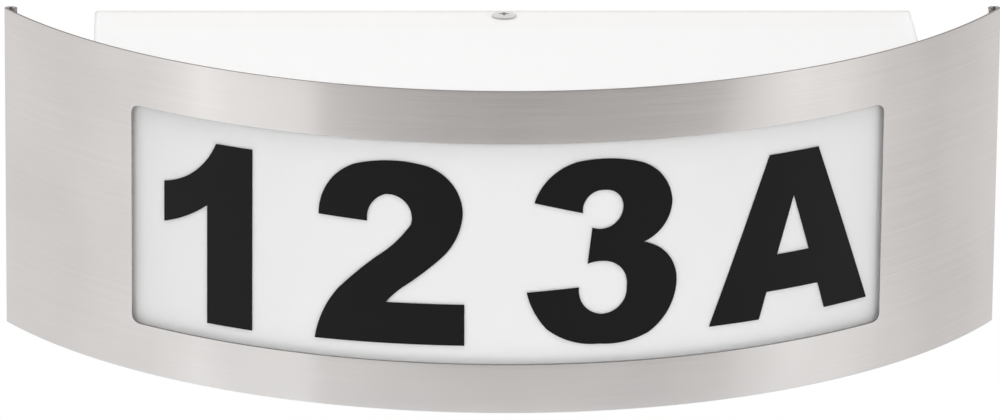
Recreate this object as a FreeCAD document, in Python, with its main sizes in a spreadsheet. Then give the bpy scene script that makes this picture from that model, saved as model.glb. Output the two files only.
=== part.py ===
"""Illuminated house number sign for a wall.

A curved brushed-steel panel with a window stands in front of an opal box. The
box slides over a moulded base tray on the wall. The tray carries a lampholder
with its lamp, a terminal block and the internal wiring. Black characters are
stuck on the curved face of the box, inside the window.

Frame: the wall is the plane Y = 0, the front looks along -Y, +X is to the
right seen from the front and +Z is up. The origin is the middle of the tray's
back face, on the wall. Lengths are millimetres, angles are degrees.
"""

import FreeCAD
import Part
import math
import os
import Sketcher
from types import SimpleNamespace

Vector = FreeCAD.Vector
Rotation = FreeCAD.Rotation
Placement = FreeCAD.Placement

X_AXIS = Vector(1, 0, 0)
Y_AXIS = Vector(0, 1, 0)
Z_AXIS = Vector(0, 0, 1)

# Driving dimensions: name, size, what it measures.
DIMENSIONS = (
    ("arc_width", 359.46, "front panel's outer arc, end to end; the curls make the panel 360 wide"),
    ("plate_height", 119.0, "front panel, top edge to bottom edge"),
    ("plate_depth", 106.5, "wall to the front of the panel"),
    ("plate_sheet", 1.0, "panel sheet"),
    ("curl_inside", 1.0, "inside radius of both bends of the curl at each end of the panel"),
    ("curl_flat", 0.7, "flat between the curl's two bends, along the wall"),
    ("curl_play", 0.3, "air between the curl's tip and the panel's hollow side"),
    ("arc_end_depth", 3.5, "wall to the point where the panel's arc meets its curl"),
    ("window_width", 268.0, "window, straight across its two sides"),
    ("window_height", 81.5, "window, top edge to bottom edge"),
    ("window_drop", 0.7, "window's middle below the panel's middle"),
    ("window_round", 2.8, "window corner radius"),
    ("panel_gap", 1.8, "air gap from panel to opal face"),
    ("box_width", 295.0, "opal box, outside"),
    ("box_height", 115.5, "opal box, outside"),
    ("box_wall", 2.2, "opal box wall"),
    ("box_round", 1.5, "radius along the opal box's top and bottom edges"),
    ("box_corner", 3.0, "radius of the opal box's upright front corners"),
    ("rim_depth", 1.2, "wall to the opal box's rear rim"),
    ("slot_width", 5.0, "open slot in the rim for a cover screw"),
    ("film", 0.3, "thickness of a stuck-on character"),
    ("stud_angle", 36.0, "degrees round the panel from its middle to a stud"),
    ("stud_level", 50.0, "stud above or below the middle"),
    ("stud_diameter", 3.0, "panel stud"),
    ("stud_length", 9.5, "panel stud from the sheet inwards"),
    ("stud_foot", 4.4, "welded foot of a stud"),
    ("stud_foot_depth", 0.7, "thickness of the welded foot"),
    ("weld_seat", 0.02, "flat stud foot to the middle of the sheet's hollow side"),
    ("spacer_outside", 9.0, "ring that keeps the panel off the opal face"),
    ("spacer_inside", 5.0, "ring's hole"),
    ("stud_hole", 3.6, "hole through the opal face for a stud"),
    ("stud_nut_flats", 5.5, "hexagon nut on a panel stud, across flats"),
    ("stud_nut_depth", 2.4, "hexagon nut on a panel stud, thickness"),
    ("tray_clearance", 0.8, "tray skirt to the inside of the opal box"),
    ("tray_depth", 22.0, "tray skirt, wall to its front edge"),
    ("tray_back", 2.5, "tray back wall"),
    ("tray_skirt", 2.0, "tray skirt wall"),
    ("tray_round", 5.0, "tray skirt corner radius"),
    ("tray_lip", 1.0, "thin lip behind the opal box's rim"),
    ("seal_inset", 6.0, "tray skirt to the sealing groove"),
    ("seal_width", 4.0, "sealing groove width"),
    ("seal_depth", 1.2, "sealing groove depth"),
    ("fixing_spacing", 250.0, "wall fixing slots, middle to middle"),
    ("fixing_slot_length", 10.0, "wall fixing slot, end to end"),
    ("fixing_slot_width", 5.0, "wall fixing slot width"),
    ("rib_height", 3.0, "stiffening rib on the tray floor"),
    ("rib_sheet", 1.5, "stiffening rib thickness"),
    ("rib_place", 34.0, "stiffening rib from the middle"),
    ("cable_place", 102.0, "cable entry to the right of the middle"),
    ("cable_hole", 12.0, "cable entry hole in the tray"),
    ("grommet_flange", 17.0, "rubber grommet over its flanges"),
    ("grommet_lip", 1.4, "rubber grommet's front flange"),
    ("grommet_nose", 6.0, "cone of the grommet above the tray floor"),
    ("grommet_bore", 8.0, "cable hole in the grommet"),
    ("grommet_tip", 1.0, "rubber round the tip of the grommet's cone"),
    ("cover_screw_depth", 7.2, "wall to the cover screws"),
    ("cover_screw_diameter", 4.0, "cover screw"),
    ("cover_screw_head", 9.0, "cover screw head"),
    ("cover_screw_head_height", 0.8, "cover screw head height"),
    ("cover_screw_length", 12.4, "cover screw under its head"),
    ("cover_screw_gap", 0.15, "air under the screw head when it is just slack"),
    ("recess_width", 1.0, "one blade of the cross recess"),
    ("recess_length", 3.6, "cross recess across"),
    ("recess_depth", 1.2, "cross recess depth"),
    ("block_width", 11.0, "tray block that holds a threaded insert"),
    ("block_depth", 12.4, "wall to the front of that block"),
    ("block_height", 8.0, "that block under the skirt"),
    ("insert_outside", 5.6, "brass threaded insert"),
    ("insert_play", 0.05, "running clearance of the screw in its insert, per side"),
    ("lamp_depth", 44.0, "wall to the lamp's axis"),
    ("bracket_sheet", 1.5, "lampholder bracket sheet"),
    ("bracket_width", 28.0, "lampholder bracket width"),
    ("bracket_foot", 27.0, "lampholder bracket foot length"),
    ("bracket_reach", 59.0, "wall to the top of the bracket"),
    ("bracket_place", 118.0, "bracket's outer face left of the middle"),
    ("bracket_bend", 1.5, "inside radius of the bracket's bend"),
    ("post_height", 3.0, "screw posts on the tray floor"),
    ("post_diameter", 8.0, "screw posts on the tray floor"),
    ("small_screw_diameter", 3.5, "bracket screws"),
    ("small_screw_head", 6.8, "their heads"),
    ("small_screw_head_height", 2.2, "their head height"),
    ("small_screw_play", 0.05, "clearance of small screws in their posts, per side"),
    ("passing_play", 0.3, "extra width of a hole that a small screw only passes through"),
    ("bracket_screw_pitch", 16.0, "bracket screws, middle to middle"),
    ("bracket_screw_place", 100.0, "bracket screws left of the middle"),
    ("nipple_outside", 10.0, "hollow threaded nipple of the lampholder"),
    ("nipple_inside", 7.6, "wire way through the nipple"),
    ("nipple_length", 15.0, "nipple length"),
    ("nipple_tail", 1.5, "nipple thread behind its nut"),
    ("nipple_nut_flats", 14.0, "nipple nut across flats"),
    ("nipple_nut_depth", 3.0, "nipple nut thickness"),
    ("holder_outside", 40.0, "lampholder body"),
    ("holder_collar", 43.0, "lampholder collar at its mouth"),
    ("holder_length", 54.0, "lampholder, bracket to mouth"),
    ("holder_mouth", 35.0, "lampholder mouth, inside"),
    ("holder_seat", 24.0, "bracket to the lampholder's inner floor"),
    ("holder_floor", 3.0, "thickness of that floor"),
    ("holder_lining", 2.2, "moulded wall round the screw shell"),
    ("holder_chamfer", 1.0, "chamfer at the lampholder's mouth"),
    ("holder_dome", 8.0, "radius of the lampholder's domed base"),
    ("collar_length", 8.0, "lampholder collar along its axis"),
    ("grip_count", 12, "finger grips round the collar"),
    ("grip_width", 3.2, "one finger grip across"),
    ("grip_lift", 0.6, "collar's surface to the middle of a grip's circle"),
    ("grip_start", 1.0, "collar's inner end to a finger grip"),
    ("grip_length", 5.0, "finger grip along the axis"),
    ("cap_diameter", 26.2, "lamp cap"),
    ("cap_play", 0.08, "clearance of the cap in the screw shell, per side"),
    ("shell_sheet", 0.5, "lampholder screw shell sheet"),
    ("shell_length", 22.0, "lampholder screw shell"),
    ("shell_floor", 4.0, "inturned floor of the screw shell"),
    ("contact_gap", 0.3, "centre contact short of the lamp's end contact's middle"),
    ("contact_foot", 6.0, "lamp axis to the end of the centre contact's foot"),
    ("contact_heel", 3.2, "lamp axis to the centre contact's bend"),
    ("contact_reach", 2.0, "centre contact past the lamp axis"),
    ("contact_width", 4.0, "width of the centre contact strip"),
    ("cap_length", 23.0, "lamp cap shell"),
    ("lamp_seat", 27.0, "bracket to the lamp's end contact"),
    ("tip_inside", 3.0, "radius of the end contact's flat"),
    ("tip_outside", 4.5, "radius of the end contact"),
    ("tip_depth", 0.8, "thickness of the end contact"),
    ("insulator_foot", 6.0, "radius of the insulator at the end contact"),
    ("cap_rim", 2.5, "end contact to the metal rim of the cap"),
    ("cap_bevel", 3.5, "insulator's edge to the cap's outside"),
    ("cap_edge", 1.0, "chamfer of the cap's end"),
    ("cap_sheet", 0.6, "lamp cap sheet"),
    ("cap_inset", 2.0, "insulator inside the cap"),
    ("housing_root", 4.0, "lamp housing inside the cap"),
    ("housing_neck", 13.6, "radius of the lamp housing at the cap"),
    ("housing_step", 1.0, "widening of the lamp housing along its neck"),
    ("housing_shoulder", 8.0, "length of that neck"),
    ("housing_flare", 90.0, "hollow radius of the lamp housing"),
    ("globe_joint", 12.6, "middle of the lamp globe to its joint with the housing"),
    ("globe_diameter", 60.0, "lamp globe"),
    ("globe_sheet", 1.4, "wall of the lamp globe"),
    ("lamp_length", 108.0, "lamp, end contact to the top of the globe"),
    ("terminal_place", 72.0, "terminal block right of the middle"),
    ("terminal_length", 18.0, "terminal block along the wires"),
    ("terminal_height", 37.0, "terminal block over its three poles"),
    ("terminal_depth", 15.0, "terminal block height above its posts"),
    ("terminal_deck", 9.3, "terminal block height between its poles"),
    ("terminal_pitch", 12.0, "terminal poles, middle to middle"),
    ("terminal_pole", 6.6, "width of one terminal pole"),
    ("block_screw_diameter", 2.9, "terminal block fixing screws"),
    ("block_screw_head", 5.0, "their heads"),
    ("block_screw_head_height", 1.8, "their head height"),
    ("terminal_round", 1.5, "corner radius of the terminal block"),
    ("terminal_step", 1.2, "end of the terminal block to its poles"),
    ("terminal_floor", 1.4, "moulding under the brass tubes"),
    ("terminal_tube", 5.2, "brass terminal tube, outside"),
    ("tube_inset", 1.0, "end of the terminal block to its brass tubes"),
    ("terminal_bore", 3.4, "brass terminal tube, inside"),
    ("terminal_screw", 3.0, "terminal screw"),
    ("terminal_screw_length", 5.25, "terminal screw above its tube"),
    ("terminal_screw_room", 1.0, "extra width of the hole over a terminal screw"),
    ("wire_diameter", 2.1, "single insulated wire"),
    ("wire_air", 0.4, "air between the two lamp wires"),
    ("wire_lift", 1.6, "wires above the tray's ribs"),
    ("lug_sheet", 0.8, "earth lug sheet"),
    ("lug_diameter", 8.0, "earth lug ring"),
)

# Shares of a pan-head screw: upright edge of its head's height, chamfer of its shank's width.
HEAD_EDGE_SHARE = 0.45
TIP_SHARE = 0.2

# Routes of the internal wires between the terminal block and the lamp, in millimetres from
# the sign's middle. Bends over the tray floor are (across, height); the lamp wires then climb
# beside the lampholder bracket through points (across, depth, height).
LAMP_WIRE_FLOOR = ((22, -29), (-16, -36), (-62, -36))
LAMP_WIRE_FOOT = (-100, -31)
LAMP_WIRE_CLIMB = ((-128, -17, -21), (-134, -33, -7))
LAMP_WIRE_TURN = -133.5
EARTH_WIRE_FLOOR = ((20, 14), (-20, 14), (-56, 10))
TERMINAL_GRIP = 3
TERMINAL_RUN = 13

# Characters: outline points in millimetres from the middle of the foot line.
# Each stretch is ("line", end) or ("arc", through, end).
ONE_START = (3.6, 67.3)
ONE_OUTLINE = (
    ("line", (18.1, 67.3)),
    ("line", (18.1, 0.0)),
    ("line", (0.0, 0.0)),
    ("line", (0.0, 44.0)),
    ("arc", (-8.6, 38.7), (-18.3, 35.0)),
    ("line", (-18.3, 50.0)),
    ("arc", (-5.0, 56.0), (3.6, 67.3)),
)
TWO_START = (-25.3, 46.2)
TWO_OUTLINE = (
    ("arc", (-21.8, 58.0), (-12.4, 65.6)),
    ("arc", (1.5, 67.7), (14.2, 66.0)),
    ("arc", (23.0, 59.3), (26.4, 48.9)),
    ("arc", (24.5, 40.6), (18.5, 32.0)),
    ("arc", (12.6, 26.8), (6.4, 22.0)),
    ("arc", (2.5, 18.9), (-1.0, 15.2)),
    ("line", (26.9, 15.2)),
    ("line", (26.9, 0.0)),
    ("line", (-27.0, 0.0)),
    ("arc", (-24.1, 9.9), (-18.1, 19.4)),
    ("arc", (-11.3, 26.0), (-4.0, 32.2)),
    ("arc", (3.2, 38.3), (8.1, 44.4)),
    ("arc", (6.4, 52.3), (-1.1, 55.2)),
    ("arc", (-6.0, 51.6), (-7.6, 45.0)),
    ("line", (-25.3, 46.2)),
)
THREE_START = (-24.4, 53.2)
THREE_OUTLINE = (
    ("arc", (-18.9, 62.5), (-9.4, 68.0)),
    ("arc", (1.6, 68.9), (13.2, 67.1)),
    ("arc", (22.1, 60.7), (25.2, 52.1)),
    ("arc", (22.4, 43.2), (14.8, 37.3)),
    ("arc", (23.4, 32.5), (27.2, 23.5)),
    ("arc", (25.2, 13.2), (16.9, 3.5)),
    ("arc", (7.9, 0.6), (-0.9, 0.4)),
    ("arc", (-11.3, 1.8), (-19.7, 6.4)),
    ("arc", (-24.4, 13.3), (-26.8, 20.1)),
    ("line", (-8.3, 21.6)),
    ("arc", (-5.5, 13.8), (0.0, 11.4)),
    ("arc", (6.8, 14.6), (8.9, 21.1)),
    ("arc", (6.5, 28.5), (-0.1, 31.1)),
    ("arc", (-2.7, 31.0), (-5.3, 30.3)),
    ("line", (-3.8, 43.6)),
    ("arc", (4.2, 44.7), (7.3, 51.0)),
    ("arc", (5.3, 55.7), (0.6, 57.4)),
    ("arc", (-5.1, 55.4), (-7.2, 49.1)),
    ("line", (-24.4, 53.2)),
)
LETTER_START = (-10.3, 60.8)
LETTER_OUTLINE = (
    ("line", (10.3, 60.8)),
    ("line", (33.4, 0.0)),
    ("line", (13.9, 0.0)),
    ("line", (10.9, 9.9)),
    ("line", (-10.9, 9.9)),
    ("line", (-13.9, 0.0)),
    ("line", (-33.4, 0.0)),
    ("line", (-10.3, 60.8)),
)
LETTER_HOLE_START = (0.0, 44.7)
LETTER_HOLE = (
    ("line", (6.8, 23.3)),
    ("line", (-6.8, 23.3)),
    ("line", (0.0, 44.7)),
)

# Where each character sits: degrees round the face, foot line height, lean in degrees.
CHARACTERS = (
    ("numeral_1", (-31.4, -36.5, 0.0), ((ONE_START, ONE_OUTLINE),)),
    ("numeral_2", (-12.1, -35.6, 0.5), ((TWO_START, TWO_OUTLINE),)),
    ("numeral_3", (9.0, -35.6, 0.0), ((THREE_START, THREE_OUTLINE),)),
    ("letter_a", (29.5, -32.2, 0.3),
     ((LETTER_START, LETTER_OUTLINE), (LETTER_HOLE_START, LETTER_HOLE))),
)


class Size:
    """A length or angle, held as a number and as the sheet formula behind it."""

    def __init__(self, number, formula):
        self.number = float(number)
        self.formula = formula

    @staticmethod
    def of(thing):
        """The thing itself if it is a Size, or a plain number as one."""
        if isinstance(thing, Size):
            return thing
        return Size(thing, repr(float(thing)))

    def _join(self, other, sign, number):
        return Size(number, f"({self.formula} {sign} {other.formula})")

    def __add__(self, other):
        other = Size.of(other)
        return self._join(other, "+", self.number + other.number)

    def __radd__(self, other):
        return Size.of(other) + self

    def __sub__(self, other):
        other = Size.of(other)
        return self._join(other, "-", self.number - other.number)

    def __rsub__(self, other):
        return Size.of(other) - self

    def __mul__(self, other):
        other = Size.of(other)
        return self._join(other, "*", self.number * other.number)

    def __rmul__(self, other):
        return Size.of(other) * self

    def __truediv__(self, other):
        other = Size.of(other)
        return self._join(other, "/", self.number / other.number)

    def __neg__(self):
        return Size.of(0) - self


def root(size):
    """Square root of a Size."""
    return Size(math.sqrt(size.number), f"sqrt({size.formula})")


def sine(angle):
    """Sine of a Size in degrees."""
    return Size(math.sin(math.radians(angle.number)), f"sin({angle.formula} * 1 deg)")


def cosine(angle):
    """Cosine of a Size in degrees."""
    return Size(math.cos(math.radians(angle.number)), f"cos({angle.formula} * 1 deg)")


def bind(thing, path, size):
    """Tie one property of an object to a size from the sheet."""
    thing.setExpression(path, Size.of(size).formula)


def make_sheet(doc):
    """Write the driving dimensions into a sheet and give them back as Sizes by name."""
    sheet = doc.addObject("Spreadsheet::Sheet", "Sizes")
    sizes = {}
    for row, (name, number, note) in enumerate(DIMENSIONS, start=1):
        sheet.set(f"A{row}", name)
        sheet.set(f"B{row}", str(number))
        sheet.set(f"C{row}", note)
        sheet.setAlias(f"B{row}", name)
        sizes[name] = Size(number, f"Sizes.{name}")
    doc.recompute()
    return SimpleNamespace(**sizes)


# ---------------------------------------------------------------- sketches and features


def new_body(doc, name, origin=(0, 0, 0)):
    """A body with its own label, placed at three Sizes or numbers."""
    body = doc.addObject("PartDesign::Body", name)
    body.Label = name
    place(body, origin)
    return body


def place(thing, origin, axis=Z_AXIS, angle=0):
    """Put an object at a point, turned about one axis, with both tied to the sheet."""
    point = [Size.of(value) for value in origin]
    angle = Size.of(angle)
    rotation = Rotation(axis, angle.number)
    thing.Placement = Placement(Vector(*[value.number for value in point]), rotation)
    for letter, value in zip("xyz", point):
        if "Sizes" in value.formula:
            bind(thing, f"Placement.Base.{letter}", value)
    if "Sizes" in angle.formula:
        thing.setExpression("Placement.Rotation.Angle", f"{angle.formula} * 1 deg")
    return thing


def new_sketch(body, name, plane, lift=0):
    """A sketch on one of the body's own planes, lifted along the plane's normal."""
    sketch = body.newObject("Sketcher::SketchObject", name)
    support = [item for item in body.Origin.OriginFeatures if item.Role == plane][0]
    sketch.AttachmentSupport = [(support, "")]
    sketch.MapMode = "FlatFace"
    lift = Size.of(lift)
    sketch.AttachmentOffset = Placement(Vector(0, 0, lift.number), Rotation())
    if "Sizes" in lift.formula:
        bind(sketch, "AttachmentOffset.Base.z", lift)
    return sketch


def hold(sketch, kind, geometry, point, size, name):
    """Fix one coordinate of a sketch point to a size, measured from the sketch's origin."""
    size = Size.of(size)
    index = sketch.addConstraint(Sketcher.Constraint(kind, -1, 1, geometry, point, size.number))
    if "Sizes" in size.formula:
        sketch.renameConstraint(index, name)
        bind(sketch, f"Constraints.{name}", size)


def arc_middle(start, end, radius, turn):
    """The middle point of the short arc from start to end; turn is +1 to the left, -1 to the right."""
    chord = end - start
    half = chord.Length / 2
    left = Vector(-chord.y, chord.x, 0).normalize()
    rise = math.sqrt(max(radius * radius - half * half, 0.0))
    centre = (start + end) * 0.5 + left * (turn * rise)
    return centre - left * (turn * radius)


def outline(sketch, corners):
    """A closed outline. A corner is (x, y) before a straight side, or (x, y, radius, turn) before an arc."""
    first = sketch.GeometryCount
    points = [Vector(Size.of(corner[0]).number, Size.of(corner[1]).number, 0) for corner in corners]
    starts = []
    for index, corner in enumerate(corners):
        start = points[index]
        end = points[(index + 1) % len(points)]
        if len(corner) == 2:
            side = sketch.addGeometry(Part.LineSegment(start, end), False)
            starts.append(1)
            continue
        radius = Size.of(corner[2])
        middle = arc_middle(start, end, radius.number, corner[3])
        side = sketch.addGeometry(Part.Arc(start, middle, end), False)
        starts.append(1 if sketch.getPoint(side, 1).distanceToPoint(start) < 1e-6 else 2)
    for index, corner in enumerate(corners):
        side = first + index
        following = first + (index + 1) % len(corners)
        far_end = 3 - starts[index]
        near_end = starts[(index + 1) % len(corners)]
        sketch.addConstraint(Sketcher.Constraint("Coincident", side, far_end, following, near_end))
        hold(sketch, "DistanceX", side, starts[index], corner[0], f"across_{side}")
        hold(sketch, "DistanceY", side, starts[index], corner[1], f"along_{side}")
        if len(corner) == 4:
            radius = Size.of(corner[2])
            bow = sketch.addConstraint(Sketcher.Constraint("Radius", side, radius.number))
            sketch.renameConstraint(bow, f"bow_{side}")
            bind(sketch, f"Constraints.bow_{side}", radius)


def rounded_rectangle(sketch, half_x, half_y, corner, middle=(0, 0)):
    """A rectangle with round corners about a middle point."""
    half_x = Size.of(half_x)
    half_y = Size.of(half_y)
    corner = Size.of(corner)
    across, along = (Size.of(value) for value in middle)
    right, left = across + half_x, across - half_x
    top, bottom = along + half_y, along - half_y
    outline(sketch, (
        (left + corner, bottom), (right - corner, bottom, corner, 1),
        (right, bottom + corner), (right, top - corner, corner, 1),
        (right - corner, top), (left + corner, top, corner, 1),
        (left, top - corner), (left, bottom + corner, corner, 1),
    ))


def rectangle(sketch, left, bottom, right, top):
    """A plain rectangle from its four sides."""
    outline(sketch, ((left, bottom), (right, bottom), (right, top), (left, top)))


def circle(sketch, across, along, diameter):
    """A circle with its middle and its radius tied to the sheet."""
    across, along, radius = Size.of(across), Size.of(along), Size.of(diameter) / 2
    middle = Vector(across.number, along.number, 0)
    ring = sketch.addGeometry(Part.Circle(middle, Z_AXIS, radius.number), False)
    hold(sketch, "DistanceX", ring, 3, across, f"across_{ring}")
    hold(sketch, "DistanceY", ring, 3, along, f"along_{ring}")
    index = sketch.addConstraint(Sketcher.Constraint("Radius", ring, radius.number))
    sketch.renameConstraint(index, f"bow_{ring}")
    bind(sketch, f"Constraints.bow_{ring}", radius)


def slot(sketch, across, along, length, width):
    """A slot along the sketch's first axis."""
    across, along = Size.of(across), Size.of(along)
    reach = (length - width) / 2
    radius = width / 2
    low, high = along - radius, along + radius
    near, far = across - reach, across + reach
    outline(sketch, (
        (near, low), (far, low, radius, 1), (far + radius, along, radius, 1),
        (far, high), (near, high, radius, 1), (near - radius, along, radius, 1),
    ))


def pad(body, sketch, length, both_ways=False, backwards=False):
    """Add material along the sketch's normal."""
    feature = body.newObject("PartDesign::Pad", sketch.Name + "_pad")
    feature.Profile = sketch
    feature.SideType = "Symmetric" if both_ways else "One side"
    feature.Reversed = backwards
    feature.Length = Size.of(length).number
    bind(feature, "Length", length)
    body.Document.recompute()
    return feature


def pocket(body, sketch, length, both_ways=False, backwards=False):
    """Cut material away along the sketch's normal. The volume has to drop."""
    before = body.Shape.Volume
    feature = body.newObject("PartDesign::Pocket", sketch.Name + "_cut")
    feature.Profile = sketch
    feature.SideType = "Symmetric" if both_ways else "One side"
    feature.Reversed = backwards
    feature.Length = Size.of(length).number
    bind(feature, "Length", length)
    body.Document.recompute()
    if body.Shape.Volume >= before:
        raise ValueError(f"{feature.Name} cuts nothing")
    return feature


def spin(body, sketch, axis):
    """Turn a half profile once round one of the sketch's own axes."""
    feature = body.newObject("PartDesign::Revolution", sketch.Name + "_turned")
    feature.Profile = sketch
    feature.ReferenceAxis = (sketch, [axis])
    feature.Angle = 360
    body.Document.recompute()
    return feature


def soften(body, radius, wanted):
    """Round the edges of the body's last feature for which wanted(edge) is true."""
    base = body.Tip
    names = [f"Edge{index}" for index, edge in enumerate(base.Shape.Edges, start=1) if wanted(edge)]
    feature = body.newObject("PartDesign::Fillet", base.Name + "_round")
    feature.Base = (base, names)
    feature.Radius = radius.number
    bind(feature, "Radius", radius)
    body.Document.recompute()
    return feature


def cylinder(doc, name, diameter, height, origin, axis=Z_AXIS, angle=0):
    """A cylinder primitive with its foot at a point."""
    solid = doc.addObject("Part::Cylinder", name)
    bind(solid, "Radius", Size.of(diameter) / 2)
    bind(solid, "Height", height)
    return place(solid, origin, axis, angle)


def hexagon(doc, name, flats, height, origin, axis=Z_AXIS, angle=0):
    """A hexagonal prism from its size across flats."""
    solid = doc.addObject("Part::Prism", name)
    solid.Polygon = 6
    bind(solid, "Circumradius", flats / math.sqrt(3))
    bind(solid, "Height", height)
    return place(solid, origin, axis, angle)


def cut(doc, name, base, tool):
    """One solid less another."""
    result = doc.addObject("Part::Cut", name)
    result.Base = base
    result.Tool = tool
    result.Label = name
    return result


def common(doc, name, base, tool):
    """What two solids share."""
    result = doc.addObject("Part::Common", name)
    result.Base = base
    result.Tool = tool
    result.Label = name
    return result


def fuse(doc, name, solids):
    """Several touching solids as one."""
    result = doc.addObject("Part::MultiFuse", name)
    result.Shapes = solids
    result.Label = name
    return result


def group(doc, name, solids):
    """Several separate solids under one name."""
    result = doc.addObject("Part::Compound", name)
    result.Links = solids
    result.Label = name
    return result


# ---------------------------------------------------------------- the panel's curve


class Curve:
    """The circle that the panel, the opal face and the characters share, seen from above."""

    def __init__(self, d):
        sagitta = d.plate_depth - d.arc_end_depth
        self.arc_half = d.arc_width / 2
        self.outside = (self.arc_half * self.arc_half + sagitta * sagitta) / (sagitta * 2)
        self.inside = self.outside - d.plate_sheet
        self.opal = self.inside - d.panel_gap
        self.opal_inside = self.opal - d.box_wall
        self.centre = self.outside - d.plate_depth
        self.end = -d.arc_end_depth

    def depth_at(self, radius, across):
        """Y of a circle of this radius at a distance to the side."""
        return self.centre - root(radius * radius - across * across)

    def swing(self, thing, angle):
        """Turn an object round the curve's axis; a positive angle moves it to the right."""
        shift = (self.centre * sine(angle), self.centre - self.centre * cosine(angle), 0)
        return place(thing, shift, Z_AXIS, angle)


# ---------------------------------------------------------------- front panel and opal box


def curl_corners(d, curve, side):
    """Corners of the closed curl at one end of the panel, from the outer arc round to the inner."""
    inner = d.curl_inside
    outer = inner + d.plate_sheet
    out_x = curve.arc_half / curve.outside
    out_y = (curve.end - curve.centre) / curve.outside
    first_x = curve.arc_half - outer * out_x
    level = curve.end - outer * out_y
    # The sheet turns in along the wall, then forward until it nearly meets its own hollow side.
    second_x = first_x - d.curl_flat
    tip = curve.depth_at(curve.inside, second_x - inner) + d.curl_play
    points = (
        (curve.arc_half, curve.end),
        (first_x, level + outer),
        (second_x, level + outer),
        (second_x - outer, level),
        (second_x - outer, tip),
        (second_x - inner, tip),
        (second_x - inner, level),
        (second_x, level + inner),
        (first_x, level + inner),
        (first_x + inner * out_x, level + inner * out_y),
    )
    return [(point[0] * side, point[1]) for point in points]


def front_panel(doc, d, curve):
    """Curved sheet panel with curled ends and a round-cornered window."""
    body = new_body(doc, "front_panel")
    plan = new_sketch(body, "panel_plan", "XY_Plane")
    inner = d.curl_inside
    outer = inner + d.plate_sheet
    right = curl_corners(d, curve, 1)
    left = curl_corners(d, curve, -1)
    front = (Size.of(0), -d.plate_depth)
    behind = (Size.of(0), d.plate_sheet - d.plate_depth)
    outline(plan, (
        (*front, curve.outside, 1),
        (*right[0], outer, 1), right[1], (*right[2], outer, 1), right[3], right[4], right[5],
        (*right[6], inner, -1), right[7], (*right[8], inner, -1),
        (*right[9], curve.inside, -1),
        (*behind, curve.inside, -1),
        (*left[9], inner, -1), left[8], (*left[7], inner, -1), left[6], left[5], left[4],
        (*left[3], outer, 1), left[2], (*left[1], outer, 1),
        (*left[0], curve.outside, 1),
    ))
    pad(body, plan, d.plate_height, both_ways=True)
    window = new_sketch(body, "panel_window", "XZ_Plane")
    rounded_rectangle(window, d.window_width / 2, d.window_height / 2, d.window_round,
                      (0, -d.window_drop))
    pocket(body, window, d.plate_depth * 2, both_ways=True)
    return body


def box_outline(sketch, half, rear, face, curve):
    """Plan of the opal box: two sides, an open back and the curved face."""
    corner = curve.depth_at(face, half)
    outline(sketch, (
        (half, rear), (-half, rear), (-half, corner, face, 1),
        (0, curve.centre - face, face, 1), (half, corner),
    ))


def diffuser(doc, d, curve):
    """Opal box, open at the back, with rim slots for the cover screws and holes for the studs."""
    body = new_body(doc, "opal_box_shell")
    half = d.box_width / 2
    plan = new_sketch(body, "box_plan", "XY_Plane")
    box_outline(plan, half, -d.rim_depth, curve.opal, curve)
    pad(body, plan, d.box_height, both_ways=True)
    rear = -d.rim_depth.number
    side = half.number

    def upright_corner(edge):
        box = edge.BoundBox
        return box.ZLength > side / 2 and box.YMax < rear - 1 and abs(box.Center.x) > side / 2

    def top_or_bottom_edge(edge):
        return edge.BoundBox.ZLength < 1e-6 and edge.BoundBox.YMin < rear - 1

    soften(body, d.box_corner, upright_corner)
    soften(body, d.box_round, top_or_bottom_edge)
    hollow = new_sketch(body, "box_hollow", "XY_Plane")
    inner_half = half - d.box_wall
    box_outline(hollow, inner_half, d.rim_depth, curve.opal_inside, curve)
    pocket(body, hollow, d.box_height - d.box_wall * 2, both_ways=True)
    notch = new_sketch(body, "screw_slot", "XY_Plane")
    radius = d.slot_width / 2
    outline(notch, (
        (-radius, d.rim_depth), (-radius, -d.cover_screw_depth, radius, 1),
        (0, -d.cover_screw_depth - radius, radius, 1), (radius, -d.cover_screw_depth),
        (radius, d.rim_depth),
    ))
    pocket(body, notch, d.box_height * 2, both_ways=True)
    drill = stud_pattern(doc, d, curve, "stud_drill", lambda name, level: cylinder(
        doc, name, d.stud_hole, d.box_wall * 3,
        (0, curve.centre - curve.opal_inside + d.box_wall, level), X_AXIS, 90))
    return cut(doc, "opal_diffuser", body, drill)


def stud_pattern(doc, d, curve, name, make):
    """Four copies of what make(name, level) builds at the panel's middle, swung to their places."""
    sides = []
    for side, word in ((-1, "left"), (1, "right")):
        pair = [make(f"{name}_{word}_{place_word}", d.stud_level * step)
                for step, place_word in ((-1, "low"), (1, "high"))]
        both = group(doc, f"{name}_{word}", pair)
        curve.swing(both, d.stud_angle * side)
        sides.append(both)
    return group(doc, name, sides)


def panel_studs(doc, d, curve):
    """Threaded studs welded behind the panel."""

    def stud(name, level):
        inside = curve.centre - curve.inside + d.weld_seat
        shank = cylinder(doc, name + "_shank", d.stud_diameter, d.stud_length,
                         (0, inside + d.stud_length, level), X_AXIS, 90)
        foot = cylinder(doc, name + "_foot", d.stud_foot, d.stud_foot_depth,
                        (0, inside + d.stud_foot_depth, level), X_AXIS, 90)
        return fuse(doc, name, [shank, foot])

    return stud_pattern(doc, d, curve, "panel_studs", stud)


def shell_between(doc, d, name, outer, inner, curve):
    """A tall ring round the curve's axis between two radii."""
    height = d.plate_height
    foot = (0, curve.centre, -height / 2)
    outside = cylinder(doc, name + "_outside", outer * 2, height, foot)
    inside = cylinder(doc, name + "_inside", inner * 2, height, foot)
    return cut(doc, name, outside, inside)


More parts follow.
